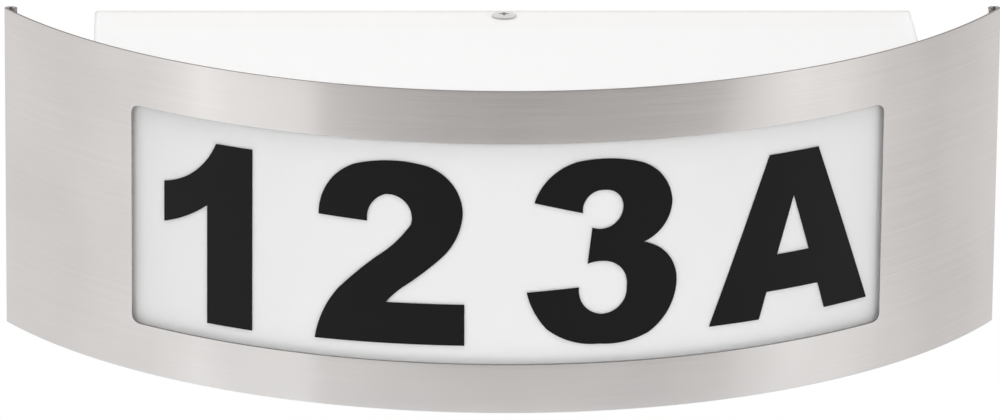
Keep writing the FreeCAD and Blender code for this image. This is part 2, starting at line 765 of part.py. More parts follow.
def panel_spacers(doc, d, curve):
    """Rings round the studs that keep the panel off the opal face."""
    gap = shell_between(doc, d, "gap_shell", curve.inside, curve.opal, curve)

    def ring(name, level):
        start = (0, curve.centre - curve.opal_inside, level)
        outside = cylinder(doc, name + "_outside", d.spacer_outside, d.box_wall * 4, start, X_AXIS, 90)
        inside = cylinder(doc, name + "_inside", d.spacer_inside, d.box_wall * 4, start, X_AXIS, 90)
        tube = cut(doc, name + "_tube", outside, inside)
        return common(doc, name, tube, gap)

    return stud_pattern(doc, d, curve, "panel_spacers", ring)


def panel_nuts(doc, d, curve):
    """Hexagon nuts on the studs, inside the opal box."""
    seat = 0.05

    def nut(name, level):
        start = (0, curve.centre - curve.opal_inside + d.stud_nut_depth + seat, level)
        blank = hexagon(doc, name + "_blank", d.stud_nut_flats, d.stud_nut_depth, start, X_AXIS, 90)
        bore = cylinder(doc, name + "_bore", d.stud_diameter, d.stud_nut_depth, start, X_AXIS, 90)
        return cut(doc, name, blank, bore)

    return stud_pattern(doc, d, curve, "panel_nuts", nut)


def draw_character(sketch, start, stretches):
    """One closed outline of a character from its lines and three-point arcs."""
    previous = Vector(*start, 0)
    for kind, *points in stretches:
        end = Vector(*points[-1], 0)
        if kind == "line":
            side = Part.LineSegment(previous, end)
        else:
            side = Part.Arc(previous, Vector(*points[0], 0), end)
        sketch.addConstraint(Sketcher.Constraint("Block", sketch.addGeometry(side, False)))
        previous = end


def character(doc, d, curve, name, seat, outlines):
    """A stuck-on character: its outline pushed through a thin shell on the opal face."""
    angle, foot_line, lean = seat
    film = shell_between(doc, d, name + "_film", curve.opal + d.film, curve.opal, curve)
    body = new_body(doc, name + "_die", (0, 0, foot_line))
    sketch = new_sketch(body, name + "_outline", "XZ_Plane")
    for start, stretches in outlines:
        draw_character(sketch, start, stretches)
    pad(body, sketch, d.plate_depth * 1.2)
    body.Placement = Placement(Vector(0, 0, foot_line), Rotation(Y_AXIS, -lean))
    piece = common(doc, name, film, body)
    curve.swing(piece, Size.of(angle))
    return piece


# ---------------------------------------------------------------- base tray


def base_tray(doc, d):
    """Moulded pan: thin rear lip, skirt, screw blocks, posts, ribs, slots and cable hole."""
    body = new_body(doc, "base_tray")
    inside_x = d.box_width / 2 - d.box_wall
    inside_z = d.box_height / 2 - d.box_wall
    half_x = inside_x - d.tray_clearance
    half_z = inside_z - d.tray_clearance
    lip = new_sketch(body, "tray_lip", "XZ_Plane")
    rounded_rectangle(lip, d.box_width / 2, d.box_height / 2, d.box_round)
    pad(body, lip, d.tray_lip)
    block = new_sketch(body, "tray_block", "XZ_Plane")
    rounded_rectangle(block, half_x, half_z, d.tray_round)
    pad(body, block, d.tray_depth)
    hollow = new_sketch(body, "tray_hollow", "XZ_Plane", d.tray_back)
    rounded_rectangle(hollow, half_x - d.tray_skirt, half_z - d.tray_skirt, d.tray_round - d.tray_skirt)
    pocket(body, hollow, d.tray_depth, backwards=True)

    inner_z = half_z - d.tray_skirt
    overlap = d.tray_skirt / 2
    for word, sign in (("top", 1), ("bottom", -1)):
        sketch = new_sketch(body, f"insert_block_{word}", "XZ_Plane")
        near = (inner_z - d.block_height) * sign
        far = (inner_z + overlap) * sign
        low, high = (near, far) if sign > 0 else (far, near)
        rectangle(sketch, -d.block_width / 2, low, d.block_width / 2, high)
        pad(body, sketch, d.block_depth)
    ribs = new_sketch(body, "tray_ribs", "XZ_Plane")
    for side in (-1, 1):
        middle = d.rib_place * side
        rectangle(ribs, middle - d.rib_sheet / 2, -inner_z - overlap,
                  middle + d.rib_sheet / 2, inner_z + overlap)
    pad(body, ribs, d.tray_back + d.rib_height)
    posts = new_sketch(body, "tray_posts", "XZ_Plane")
    for across, along, _ in post_places(d):
        circle(posts, across, along, d.post_diameter)
    pad(body, posts, d.tray_back + d.post_height)

    fixings = new_sketch(body, "fixing_slots", "XZ_Plane")
    for side in (-1, 1):
        slot(fixings, d.fixing_spacing / 2 * side, 0, d.fixing_slot_length, d.fixing_slot_width)
    pocket(body, fixings, d.tray_back * 4, both_ways=True)
    entry = new_sketch(body, "cable_entry_hole", "XZ_Plane")
    circle(entry, d.cable_place, 0, d.cable_hole)
    pocket(body, entry, d.tray_back * 4, both_ways=True)
    groove = new_sketch(body, "seal_groove", "XZ_Plane")
    seal_rings(groove, d, half_x, half_z)
    pocket(body, groove, d.seal_depth * 2, both_ways=True)
    pilots = new_sketch(body, "post_pilots", "XZ_Plane", d.tray_back + d.post_height)
    for across, along, screw in post_places(d):
        circle(pilots, across, along, screw + d.small_screw_play * 2)
    pocket(body, pilots, d.post_height + d.tray_back / 2)
    ways = new_sketch(body, "insert_ways", "XY_Plane")
    circle(ways, 0, -d.cover_screw_depth, d.insert_outside)
    pocket(body, ways, d.box_height, both_ways=True)
    return body


def post_places(d):
    """Middle and screw of each post: two for the bracket, two for the terminal block."""
    pitch = d.bracket_screw_pitch / 2
    block_pitch = d.terminal_pitch / 2
    return (
        (-d.bracket_screw_place, -pitch, d.small_screw_diameter),
        (-d.bracket_screw_place, pitch, d.small_screw_diameter),
        (d.terminal_place, -block_pitch, d.block_screw_diameter),
        (d.terminal_place, block_pitch, d.block_screw_diameter),
    )


def seal_rings(sketch, d, half_x, half_z):
    """Outer and inner outline of the sealing groove, and of the seal in it."""
    for inset in (d.seal_inset, d.seal_inset + d.seal_width):
        corner = d.tray_round + d.seal_width - (inset - d.seal_inset)
        rounded_rectangle(sketch, half_x - inset, half_z - inset, corner)


def wall_seal(doc, d):
    """Foam cord in the groove, pressed flush by the wall."""
    body = new_body(doc, "wall_seal")
    clear = d.box_wall + d.tray_clearance
    ring = new_sketch(body, "seal_ring", "XZ_Plane")
    seal_rings(ring, d, d.box_width / 2 - clear, d.box_height / 2 - clear)
    pad(body, ring, d.seal_depth)
    return body


def cable_grommet(doc, d):
    """Rubber grommet in the cable hole: flange, neck and a cone with its bore."""
    body = new_body(doc, "cable_grommet", (d.cable_place, 0, 0))
    profile = new_sketch(body, "grommet_profile", "XY_Plane")
    bore = d.grommet_bore / 2
    neck = d.cable_hole / 2
    flange = d.grommet_flange / 2
    floor = -d.tray_back
    outline(profile, (
        (bore, 0), (bore, floor - d.grommet_nose),
        (bore + d.grommet_tip, floor - d.grommet_nose),
        (neck, floor - d.grommet_lip), (flange, floor - d.grommet_lip),
        (flange, floor), (neck, floor), (neck, 0),
    ))
    spin(body, profile, "V_Axis")
    return body


def threaded_inserts(doc, d):
    """Two brass inserts in the tray's screw blocks."""
    inner_z = d.box_height / 2 - d.box_wall - d.tray_clearance - d.tray_skirt
    pieces = []
    for word, sign in (("top", 1), ("bottom", -1)):
        foot = inner_z - d.block_height if sign > 0 else -inner_z
        origin = (0, -d.cover_screw_depth, foot)
        outside = cylinder(doc, f"insert_{word}_outside", d.insert_outside, d.block_height, origin)
        inside = cylinder(doc, f"insert_{word}_inside", d.cover_screw_diameter + d.insert_play * 2,
                          d.block_height, origin)
        pieces.append(cut(doc, f"insert_{word}", outside, inside))
    return group(doc, "threaded_inserts", pieces)


def pan_screw(doc, name, head, head_height, shank, length, recess=None):
    """A domed pan-head screw along +Z with the underside of its head at the origin."""
    body = doc.addObject("PartDesign::Body", name)
    profile = new_sketch(body, name + "_profile", "XZ_Plane")
    edge = head_height * HEAD_EDGE_SHARE
    crown = (head * head / 4 + (head_height - edge) * (head_height - edge)) / (head_height - edge) / 2
    tip = shank * TIP_SHARE
    outline(profile, (
        (0, -length), (shank / 2 - tip, -length), (shank / 2, tip - length), (shank / 2, 0),
        (head / 2, 0), (head / 2, edge, crown, 1), (0, head_height),
    ))
    spin(body, profile, "V_Axis")
    if recess is not None:
        width, reach, depth = recess
        for word, across, along in (("first", reach, width), ("second", width, reach)):
            blade = new_sketch(body, f"{name}_{word}_blade", "XY_Plane", head_height - depth)
            rectangle(blade, -across / 2, -along / 2, across / 2, along / 2)
            pocket(body, blade, head_height, backwards=True)
    return body


def cover_screw(doc, d, word, sign):
    """Screw that holds the opal box to the tray, its head just clear of the box."""
    recess = (d.recess_width, d.recess_length, d.recess_depth)
    body = pan_screw(doc, f"cover_screw_{word}", d.cover_screw_head, d.cover_screw_head_height,
                     d.cover_screw_diameter, d.cover_screw_length, recess)
    body.Label = f"cover_screw_{word}"
    level = (d.box_height / 2 + d.cover_screw_gap) * sign
    return place(body, (0, -d.cover_screw_depth, level), X_AXIS, 0 if sign > 0 else 180)


# ---------------------------------------------------------------- lampholder and lamp


def lamp_bracket(doc, d):
    """Bent sheet bracket: foot on two posts, upright with the nipple hole."""
    body = new_body(doc, "lamp_bracket")
    profile = new_sketch(body, "bracket_profile", "XY_Plane")
    left = -d.bracket_place
    foot = -d.tray_back - d.post_height
    inner = d.bracket_bend
    outer = inner + d.bracket_sheet
    outline(profile, (
        (left + outer, foot), (left + d.bracket_foot, foot),
        (left + d.bracket_foot, foot - d.bracket_sheet),
        (left + outer, foot - d.bracket_sheet, inner, -1),
        (left + d.bracket_sheet, foot - outer),
        (left + d.bracket_sheet, -d.bracket_reach), (left, -d.bracket_reach),
        (left, foot - outer, outer, -1),
    ))
    pad(body, profile, d.bracket_width, both_ways=True)
    holes = new_sketch(body, "bracket_screw_holes", "XZ_Plane")
    for side in (-1, 1):
        circle(holes, -d.bracket_screw_place, d.bracket_screw_pitch / 2 * side,
               d.small_screw_diameter + d.passing_play)
    pocket(body, holes, d.lamp_depth * 2, both_ways=True)
    way = new_sketch(body, "bracket_nipple_hole", "YZ_Plane")
    circle(way, -d.lamp_depth, 0, d.nipple_outside + d.small_screw_play * 2)
    pocket(body, way, d.box_width, both_ways=True)
    return body


def small_screw(doc, d, name, across, along, seat, length):
    """A bracket or terminal block screw driven towards the wall."""
    body = pan_screw(doc, name, d.small_screw_head, d.small_screw_head_height,
                     d.small_screw_diameter, length)
    return place(body, (across, -seat, along), X_AXIS, 90)


def bracket_screws(doc, d):
    """Two screws through the bracket's foot; the upper one also holds the earth lug."""
    seat = d.tray_back + d.post_height + d.bracket_sheet
    pitch = d.bracket_screw_pitch / 2
    length = d.bracket_sheet + d.post_height
    low = small_screw(doc, d, "bracket_screw_low", -d.bracket_screw_place, -pitch, seat, length)
    high = small_screw(doc, d, "bracket_screw_high", -d.bracket_screw_place, pitch,
                       seat + d.lug_sheet, length + d.lug_sheet)
    return group(doc, "bracket_screws", [low, high])


def earth_lug(doc, d):
    """Ring lug with a crimped barrel under the upper bracket screw."""
    body = new_body(doc, "earth_lug")
    level = d.bracket_screw_pitch / 2
    seat = d.tray_back + d.post_height + d.bracket_sheet
    ring = new_sketch(body, "lug_ring", "XZ_Plane", seat)
    circle(ring, -d.bracket_screw_place, level, d.lug_diameter)
    circle(ring, -d.bracket_screw_place, level, d.small_screw_diameter + d.passing_play)
    pad(body, ring, d.lug_sheet)
    tongue = new_sketch(body, "lug_tongue", "XZ_Plane", seat)
    start = d.lug_diameter / 2 - d.lug_sheet
    rectangle(tongue, start - d.bracket_screw_place, level - d.wire_diameter / 2,
              lug_mouth(d), level + d.wire_diameter / 2)
    pad(body, tongue, d.lug_sheet)
    barrel = new_sketch(body, "lug_barrel", "YZ_Plane", lug_mouth(d) - d.wire_diameter * 2)
    circle(barrel, -seat - wire_lift(d), level, d.wire_diameter + d.lug_sheet * 2)
    circle(barrel, -seat - wire_lift(d), level, d.wire_diameter + d.small_screw_play * 2)
    pad(body, barrel, d.wire_diameter * 2)
    return body


def wire_lift(d):
    """Height of the earth wire's middle over the bracket's foot, in the lug's barrel."""
    return d.wire_diameter / 2 + d.lug_sheet


def lug_mouth(d):
    """X of the open end of the lug's barrel."""
    return d.lug_diameter + d.wire_diameter - d.bracket_screw_place


def axis_body(doc, d, name):
    """A body whose X axis is the lamp's axis, with its origin where the bracket meets the holder."""
    return new_body(doc, name, (d.bracket_sheet - d.bracket_place, -d.lamp_depth, 0))


def holder_nipple(doc, d):
    """Hollow threaded nipple that clamps the lampholder to its bracket."""
    body = axis_body(doc, d, "holder_nipple")
    profile = new_sketch(body, "nipple_profile", "XY_Plane")
    tail = -d.bracket_sheet - d.nipple_nut_depth - d.nipple_tail
    rectangle(profile, tail, d.nipple_inside / 2, tail + d.nipple_length, d.nipple_outside / 2)
    spin(body, profile, "H_Axis")
    return body


def nipple_nut(doc, d):
    """Hexagon nut on the nipple, behind the bracket."""
    origin = (-d.bracket_place - d.nipple_nut_depth, -d.lamp_depth, 0)
    blank = hexagon(doc, "nipple_nut_blank", d.nipple_nut_flats, d.nipple_nut_depth, origin, Y_AXIS, 90)
    bore = cylinder(doc, "nipple_nut_bore", d.nipple_outside, d.nipple_nut_depth, origin, Y_AXIS, 90)
    return cut(doc, "nipple_nut", blank, bore)


def lampholder(doc, d):
    """Moulded lampholder: domed base, body with a grip collar, deep mouth round the screw shell."""
    body = axis_body(doc, d, "lampholder_body")
    profile = new_sketch(body, "holder_profile", "XY_Plane")
    outside = d.holder_outside / 2
    collar = d.holder_collar / 2
    mouth = d.holder_mouth / 2
    entry = d.nipple_outside / 2
    shell = shell_outside(d)
    lining = shell + d.holder_lining
    dome = d.holder_dome
    seat = d.holder_seat
    back = seat - d.holder_floor
    shell_end = seat + d.shell_length
    well = seat + d.holder_chamfer
    length = d.holder_length
    collar_start = length - d.collar_length
    outline(profile, (
        (0, entry), (nipple_end(d), entry), (nipple_end(d), d.nipple_inside / 2),
        (back, d.nipple_inside / 2), (back, entry / 2), (seat, entry / 2),
        (seat, shell), (shell_end, shell), (shell_end, lining), (well, lining), (well, mouth),
        (length, mouth), (length, collar - d.holder_chamfer), (length - d.holder_chamfer, collar),
        (collar_start, collar), (collar_start, outside), (dome, outside, dome, 1),
        (0, outside - dome),
    ))
    spin(body, profile, "H_Axis")
    blade = new_sketch(body, "collar_grip", "YZ_Plane", collar_start + d.grip_start)
    circle(blade, collar + d.grip_lift, 0, d.grip_width)
    grip = pocket(body, blade, d.grip_length, backwards=True)
    pattern = body.newObject("PartDesign::PolarPattern", "collar_grip_round")
    pattern.Originals = [grip]
    axis_line = [item for item in body.Origin.OriginFeatures if item.Role == "X_Axis"][0]
    pattern.Axis = (axis_line, [""])
    pattern.Angle = 360
    pattern.Occurrences = int(d.grip_count.number)
    bind(pattern, "Occurrences", d.grip_count)
    body.Tip = pattern
    doc.recompute()
    return body


def nipple_end(d):
    """Where the nipple stops inside the lampholder, from the bracket."""
    return d.nipple_length - d.bracket_sheet - d.nipple_nut_depth - d.nipple_tail


def shell_outside(d):
    """Outer radius of the lampholder's screw shell."""
    return d.cap_diameter / 2 + d.cap_play + d.shell_sheet


def screw_shell(doc, d):
    """Sheet-metal screw shell lining the lampholder."""
    body = axis_body(doc, d, "lampholder_screw_shell")
    profile = new_sketch(body, "shell_profile", "XY_Plane")
    outside = shell_outside(d)
    inside = outside - d.shell_sheet
    seat = d.holder_seat
    outline(profile, (
        (seat, inside - d.shell_floor), (seat + d.shell_sheet, inside - d.shell_floor),
        (seat + d.shell_sheet, inside), (seat + d.shell_length, inside),
        (seat + d.shell_length, outside), (seat, outside),
    ))
    spin(body, profile, "H_Axis")
    return body


def centre_contact(doc, d):
    """Sprung contact strip on the lampholder's floor, just short of the lamp's end contact."""
    body = axis_body(doc, d, "lampholder_centre_contact")
    profile = new_sketch(body, "contact_profile", "XY_Plane")
    seat = d.holder_seat
    sheet = d.shell_sheet
    crown = d.lamp_seat - d.contact_gap
    reach = d.contact_reach
    outline(profile, (
        (seat, -d.contact_foot), (seat + sheet, -d.contact_foot), (seat + sheet, -d.contact_heel),
        (crown, -reach / 2), (crown, reach), (crown - sheet, reach), (crown - sheet, -reach / 2),
        (seat, -d.contact_heel - sheet),
    ))
    pad(body, profile, d.contact_width, both_ways=True)
    return body


def lamp_pieces(doc, d):
    """The lamp: end contact, insulator, screw cap, moulded housing and globe."""
    tip = d.lamp_seat
    tip_back = tip + d.tip_depth
    cap = d.cap_diameter / 2
    lining = cap - d.cap_sheet
    bevel = cap - d.cap_bevel
    rim = tip + d.cap_rim
    inset = rim + d.cap_inset
    cap_end = rim + d.cap_length
    housing_foot = cap_end - d.housing_root
    neck_end = cap_end + d.housing_shoulder
    globe = d.globe_diameter / 2
    hollow = globe - d.globe_sheet
    top = tip + d.lamp_length
    middle = top - globe
    joint = middle - d.globe_joint
    joint_radius = root(globe * globe - d.globe_joint * d.globe_joint)
    inner_joint = root(hollow * hollow - d.globe_joint * d.globe_joint)
    neck = d.housing_neck
    plans = {
        "lamp_end_contact": (
            (tip, 0), (tip, d.tip_inside), (tip_back, d.tip_outside), (tip_back, 0),
        ),
        "lamp_insulator": (
            (tip_back, 0), (tip_back, d.insulator_foot), (rim, bevel), (inset, bevel), (inset, 0),
        ),
        "lamp_cap": (
            (rim, bevel), (rim, cap - d.cap_edge), (rim + d.cap_edge, cap), (cap_end, cap),
            (cap_end, lining), (inset, lining), (inset, bevel),
        ),
        "lamp_housing": (
            (housing_foot, 0), (housing_foot, lining), (cap_end, lining), (cap_end, neck),
            (neck_end, neck + d.housing_step, d.housing_flare, -1),
            (joint, joint_radius), (joint, 0),
        ),
        "lamp_globe": (
            (joint, inner_joint), (joint, joint_radius, globe, -1), (middle, globe, globe, -1),
            (top, 0), (top - d.globe_sheet, 0, hollow, 1), (middle, hollow, hollow, 1),
        ),
    }
    pieces = []
    for name, corners in plans.items():
        body = axis_body(doc, d, name)
        profile = new_sketch(body, name + "_profile", "XY_Plane")
        outline(profile, corners)
        spin(body, profile, "H_Axis")
        pieces.append(body)
    return pieces


# ---------------------------------------------------------------- terminal block and wiring


def terminal_block(doc, d):
    """Three-pole moulded block with stepped top, tube ways and screw ways."""
    body = new_body(doc, "terminal_block", (d.terminal_place, -d.tray_back - d.post_height, 0))
    plan = new_sketch(body, "terminal_plan", "XZ_Plane")
    rounded_rectangle(plan, d.terminal_length / 2, d.terminal_height / 2, d.terminal_round)
    pad(body, plan, d.terminal_deck)
    towers = new_sketch(body, "terminal_towers", "XZ_Plane")
    tower = d.terminal_length / 2 - d.terminal_step
    for pole in (-1, 0, 1):
        level = d.terminal_pitch * pole
        rectangle(towers, -tower, level - d.terminal_pole / 2, tower, level + d.terminal_pole / 2)
    pad(body, towers, d.terminal_depth)
    ways = new_sketch(body, "terminal_ways", "YZ_Plane")
    for pole in (-1, 0, 1):
        circle(ways, -terminal_axis(d), d.terminal_pitch * pole, d.terminal_tube)
    pocket(body, ways, d.terminal_length * 2, both_ways=True)
    wells = new_sketch(body, "terminal_screw_ways", "XZ_Plane", terminal_axis(d))
    for pole in (-1, 0, 1):
        for side in (-1, 1):
            circle(wells, d.terminal_length / 4 * side, d.terminal_pitch * pole,
                   d.terminal_screw + d.terminal_screw_room)
    pocket(body, wells, d.terminal_depth, backwards=True)
    holes = new_sketch(body, "terminal_fixing_holes", "XZ_Plane")
    for side in (-1, 1):
        circle(holes, 0, d.terminal_pitch / 2 * side, d.block_screw_diameter + d.passing_play)
    pocket(body, holes, d.terminal_depth * 3, both_ways=True)
    return body


def block_screws(doc, d):
    """Two screws that fix the terminal block to its posts."""
    seat = d.tray_back + d.post_height + d.terminal_deck
    screws = []
    for word, side in (("low", -1), ("high", 1)):
        screw = pan_screw(doc, f"block_screw_{word}", d.block_screw_head, d.block_screw_head_height,
                          d.block_screw_diameter, d.terminal_deck + d.post_height)
        place(screw, (d.terminal_place, -seat, d.terminal_pitch / 2 * side), X_AXIS, 90)
        screws.append(screw)
    return group(doc, "terminal_block_screws", screws)


def terminal_axis(d):
    """Height of the terminal tubes' axes above the posts."""
    return d.terminal_tube / 2 + d.terminal_floor


def terminal_tubes(doc, d):
    """Three brass tubes in the terminal block."""
    tubes = []
    depth = -d.tray_back - d.post_height - terminal_axis(d)
    for number, pole in enumerate((-1, 0, 1), start=1):
        length = d.terminal_length - d.tube_inset * 2
        origin = (d.terminal_place - length / 2, depth, d.terminal_pitch * pole)
        outside = cylinder(doc, f"tube_{number}_outside", d.terminal_tube, length, origin, Y_AXIS, 90)
        inside = cylinder(doc, f"tube_{number}_inside", d.terminal_bore, length, origin, Y_AXIS, 90)
        tubes.append(cut(doc, f"tube_{number}", outside, inside))
    return group(doc, "terminal_tubes", tubes)


def terminal_screws(doc, d):
    """Six clamping screws standing on the tubes."""
    screws = []
    base = -d.tray_back - d.post_height - terminal_axis(d) - d.terminal_tube / 2
    for pole in (-1, 0, 1):
        for side in (-1, 1):
            origin = (d.terminal_place + d.terminal_length / 4 * side, base, d.terminal_pitch * pole)
            screws.append(cylinder(doc, f"terminal_screw_{pole + 2}_{side + 2}", d.terminal_screw,
                                   d.terminal_screw_length, origin, X_AXIS, 90))
    return group(doc, "terminal_screws", screws)


def rounded_path(points):
    """Straight runs joined by tangent arcs through a list of points."""
    edges = []
    start = points[0]
    for index in range(1, len(points) - 1):
        corner = points[index]
        back = (points[index - 1] - corner)
        ahead = (points[index + 1] - corner)
        shorter = min(back.Length, ahead.Length) * 0.45
        back.normalize()
        ahead.normalize()
        enter = corner + back * shorter
        leave = corner + ahead * shorter
        inward = (back + ahead).normalize()
        half_turn = (math.pi - back.getAngle(ahead)) / 2
        radius = shorter / math.tan(half_turn)
        middle = corner + inward * (radius / math.cos(half_turn) - radius)
        edges.append(Part.LineSegment(start, enter).toShape())
        edges.append(Part.Arc(enter, middle, leave).toShape())
        start = leave
    edges.append(Part.LineSegment(start, points[-1]).toShape())
    return Part.Wire(edges)


def wire(doc, d, name, points):
    """An insulated wire along a rounded route."""
    diameter = d.wire_diameter.number
    path = rounded_path([Vector(*point) for point in points])
    start = Vector(*points[0])
    direction = Vector(*points[1]) - start
    section = Part.Wire([Part.makeCircle(diameter / 2, start, direction)])
    tube = path.makePipeShell([section], True, False)
    piece = doc.addObject("Part::Feature", name)
    piece.Label = name
    piece.Shape = tube
    expected = math.pi * diameter * diameter / 4 * path.Length
    if abs(tube.Volume / expected - 1) > 0.02:
        raise ValueError(f"{name} has the wrong volume")
    return piece


def internal_wires(doc, d):
    """Live and neutral to the lampholder through its nipple, earth to the bracket."""
    depth = -(d.tray_back + d.post_height + terminal_axis(d)).number
    mouth = (d.terminal_place - d.terminal_length / 2).number + TERMINAL_GRIP
    pitch = d.terminal_pitch.number
    axis = -d.lamp_depth.number
    nipple = -(d.bracket_place + d.nipple_nut_depth).number
    spread = (d.wire_diameter + d.wire_air).number
    floor = -(d.tray_back + d.rib_height + d.wire_lift).number
    seat = -(d.tray_back + d.post_height + d.bracket_sheet + wire_lift(d)).number
    level = d.bracket_screw_pitch.number / 2
    barrel = lug_mouth(d).number
    pieces = []
    for number, (name, start) in enumerate((("live_wire", -pitch), ("neutral_wire", 0))):
        # The neutral wire follows the live wire on the inside of every bend.
        step = spread * number
        route = [(mouth, depth, start), (mouth - TERMINAL_RUN, depth, start)]
        route += [(across, floor, height + step) for across, height in LAMP_WIRE_FLOOR]
        across, height = LAMP_WIRE_FOOT
        route.append((across + step, floor - 1, height + step))
        route += [(across + step, back, height + step) for across, back, height in LAMP_WIRE_CLIMB]
        pair = axis - spread / 2 + step
        route += [(LAMP_WIRE_TURN + step, pair, 0), (nipple + TERMINAL_GRIP, pair, 0)]
        pieces.append(wire(doc, d, name, route))
    route = [(mouth, depth, pitch), (mouth - TERMINAL_RUN, depth, pitch)]
    route += [(across, floor, height) for across, height in EARTH_WIRE_FLOOR]
    route += [(barrel + TERMINAL_RUN, seat, level), (barrel - TERMINAL_GRIP, seat, level)]
    pieces.append(wire(doc, d, "earth_wire", route))
    return pieces


# ---------------------------------------------------------------- building and writing


def build(doc):
    """Every separate piece of the sign, in the order it goes together."""
    d = make_sheet(doc)
    curve = Curve(d)
    nodes = [
        base_tray(doc, d), wall_seal(doc, d), cable_grommet(doc, d), threaded_inserts(doc, d),
        lamp_bracket(doc, d), bracket_screws(doc, d), earth_lug(doc, d),
        holder_nipple(doc, d), nipple_nut(doc, d), lampholder(doc, d), screw_shell(doc, d),
        centre_contact(doc, d),
        terminal_block(doc, d), block_screws(doc, d), terminal_tubes(doc, d), terminal_screws(doc, d),
    ]
    nodes += internal_wires(doc, d)
    nodes += lamp_pieces(doc, d)
    nodes += [
        diffuser(doc, d, curve), front_panel(doc, d, curve),
        panel_studs(doc, d, curve), panel_spacers(doc, d, curve), panel_nuts(doc, d, curve),
    ]
    nodes += [character(doc, d, curve, name, seat, outlines) for name, seat, outlines in CHARACTERS]
    nodes += [cover_screw(doc, d, "top", 1), cover_screw(doc, d, "bottom", -1)]
    return nodes


def check(doc, nodes):
    """Stop on any failed object or unsound shape."""
    doc.recompute()
    for thing in doc.Objects:
        if "Invalid" in thing.State or "Error" in thing.State:
            raise ValueError(f"{thing.Name} failed: {thing.State}")
    for node in nodes:
        if node.Shape.isNull() or not node.Shape.isValid():
            raise ValueError(f"{node.Label} has no sound shape")


def main():
    """Build the sign, check it and write one file for each piece."""
    doc = FreeCAD.newDocument("house_number_sign")
    nodes = build(doc)
    check(doc, nodes)
    os.makedirs("parts", exist_ok=True)
    for node in nodes:
        node.Shape.exportStep(f"parts/{node.Label}.step")
        box = node.Shape.optimalBoundingBox()
        print(f"{node.Label:28} {len(node.Shape.Solids)} solid(s) {node.Shape.Volume / 1000:9.3f} cm3 "
              f"x {box.XMin:7.1f} {box.XMax:7.1f} y {box.YMin:7.1f} {box.YMax:7.1f} "
              f"z {box.ZMin:6.1f} {box.ZMax:6.1f}")


main()
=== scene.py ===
"""Illuminated house number sign: its looks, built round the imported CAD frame.

The curved steel panel is built here as a fine sheet mesh, and so are the two cover
screws. Every other piece is its CAD solid with a finish of its own. All sizes are in
metres in the frame of the CAD model: the wall is Y = 0, the front looks along -Y and
+Z is up.
"""

import logging
import math
from dataclasses import dataclass, field
from enum import Enum
from typing import Iterable, Sequence, Union

import bmesh
import bpy
from mathutils import Matrix, Vector


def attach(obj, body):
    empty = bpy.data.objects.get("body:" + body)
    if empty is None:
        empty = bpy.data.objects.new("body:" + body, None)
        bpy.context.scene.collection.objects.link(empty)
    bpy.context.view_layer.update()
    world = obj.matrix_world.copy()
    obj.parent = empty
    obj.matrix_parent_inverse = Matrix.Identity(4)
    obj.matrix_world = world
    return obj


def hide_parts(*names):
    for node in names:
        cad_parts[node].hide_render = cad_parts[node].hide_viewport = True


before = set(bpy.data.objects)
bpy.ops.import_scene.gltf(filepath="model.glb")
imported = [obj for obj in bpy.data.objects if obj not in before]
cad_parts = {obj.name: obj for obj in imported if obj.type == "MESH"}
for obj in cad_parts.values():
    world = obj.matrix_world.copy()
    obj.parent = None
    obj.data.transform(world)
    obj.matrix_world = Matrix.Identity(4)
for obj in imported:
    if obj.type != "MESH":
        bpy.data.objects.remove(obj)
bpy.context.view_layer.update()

LOG = logging.getLogger("house_number_sign")
Pair = tuple[float, float]
Point = tuple[float, float]
Place = tuple[float, float, float]
Color = tuple[float, float, float]
Station = tuple[Point, Point, float]
Column = list[list[bmesh.types.BMVert]]
Socket = bpy.types.NodeSocket
Feed = Union[float, tuple[float, ...], Socket]
Paint = Union[Color, Socket]
FULL_TURN = 2 * math.pi
FULL_TURN_DEGREES = 360


class Body(Enum):
    """The CAD bodies that the new pieces ride on."""

    COVER = "cover"
    TOP_SCREW = "top_screw"
    BOTTOM_SCREW = "bottom_screw"


class Grain(Enum):
    """Which way a metal's marks run: how often they change along X, Y and Z."""

    ALONG = (24.0, 24.0, 2200.0)
    TURNED = (900.0, 900.0, 900.0)
    ROLLED = (240.0, 1200.0, 240.0)


# ---------------------------------------------------------------- node trees

# The colour sockets of a Mix node, which shares their names with its other sockets.
MIX_FIRST, MIX_SECOND, MIX_RESULT = 6, 7, 2
WHITE = (1.0, 1.0, 1.0, 1.0)
MIDDLE = 0.5

# Noise in the shared effects: its scale on a position in metres, and its detail.
CLOUDS = (28.0, 3.0)
GLOSS_PATCHES = (95.0, 5.0)
STAINS = (16.0, 2.0)
TEXTURE_DETAIL = 2.0
# The same for a metal's marks, on a position that is already drawn out.
FINE_MARKS = (1.0, 4.0)
COARSE_MARKS = (0.23, 3.0)
FINE_SHARE, COARSE_SHARE = 0.6, 0.4


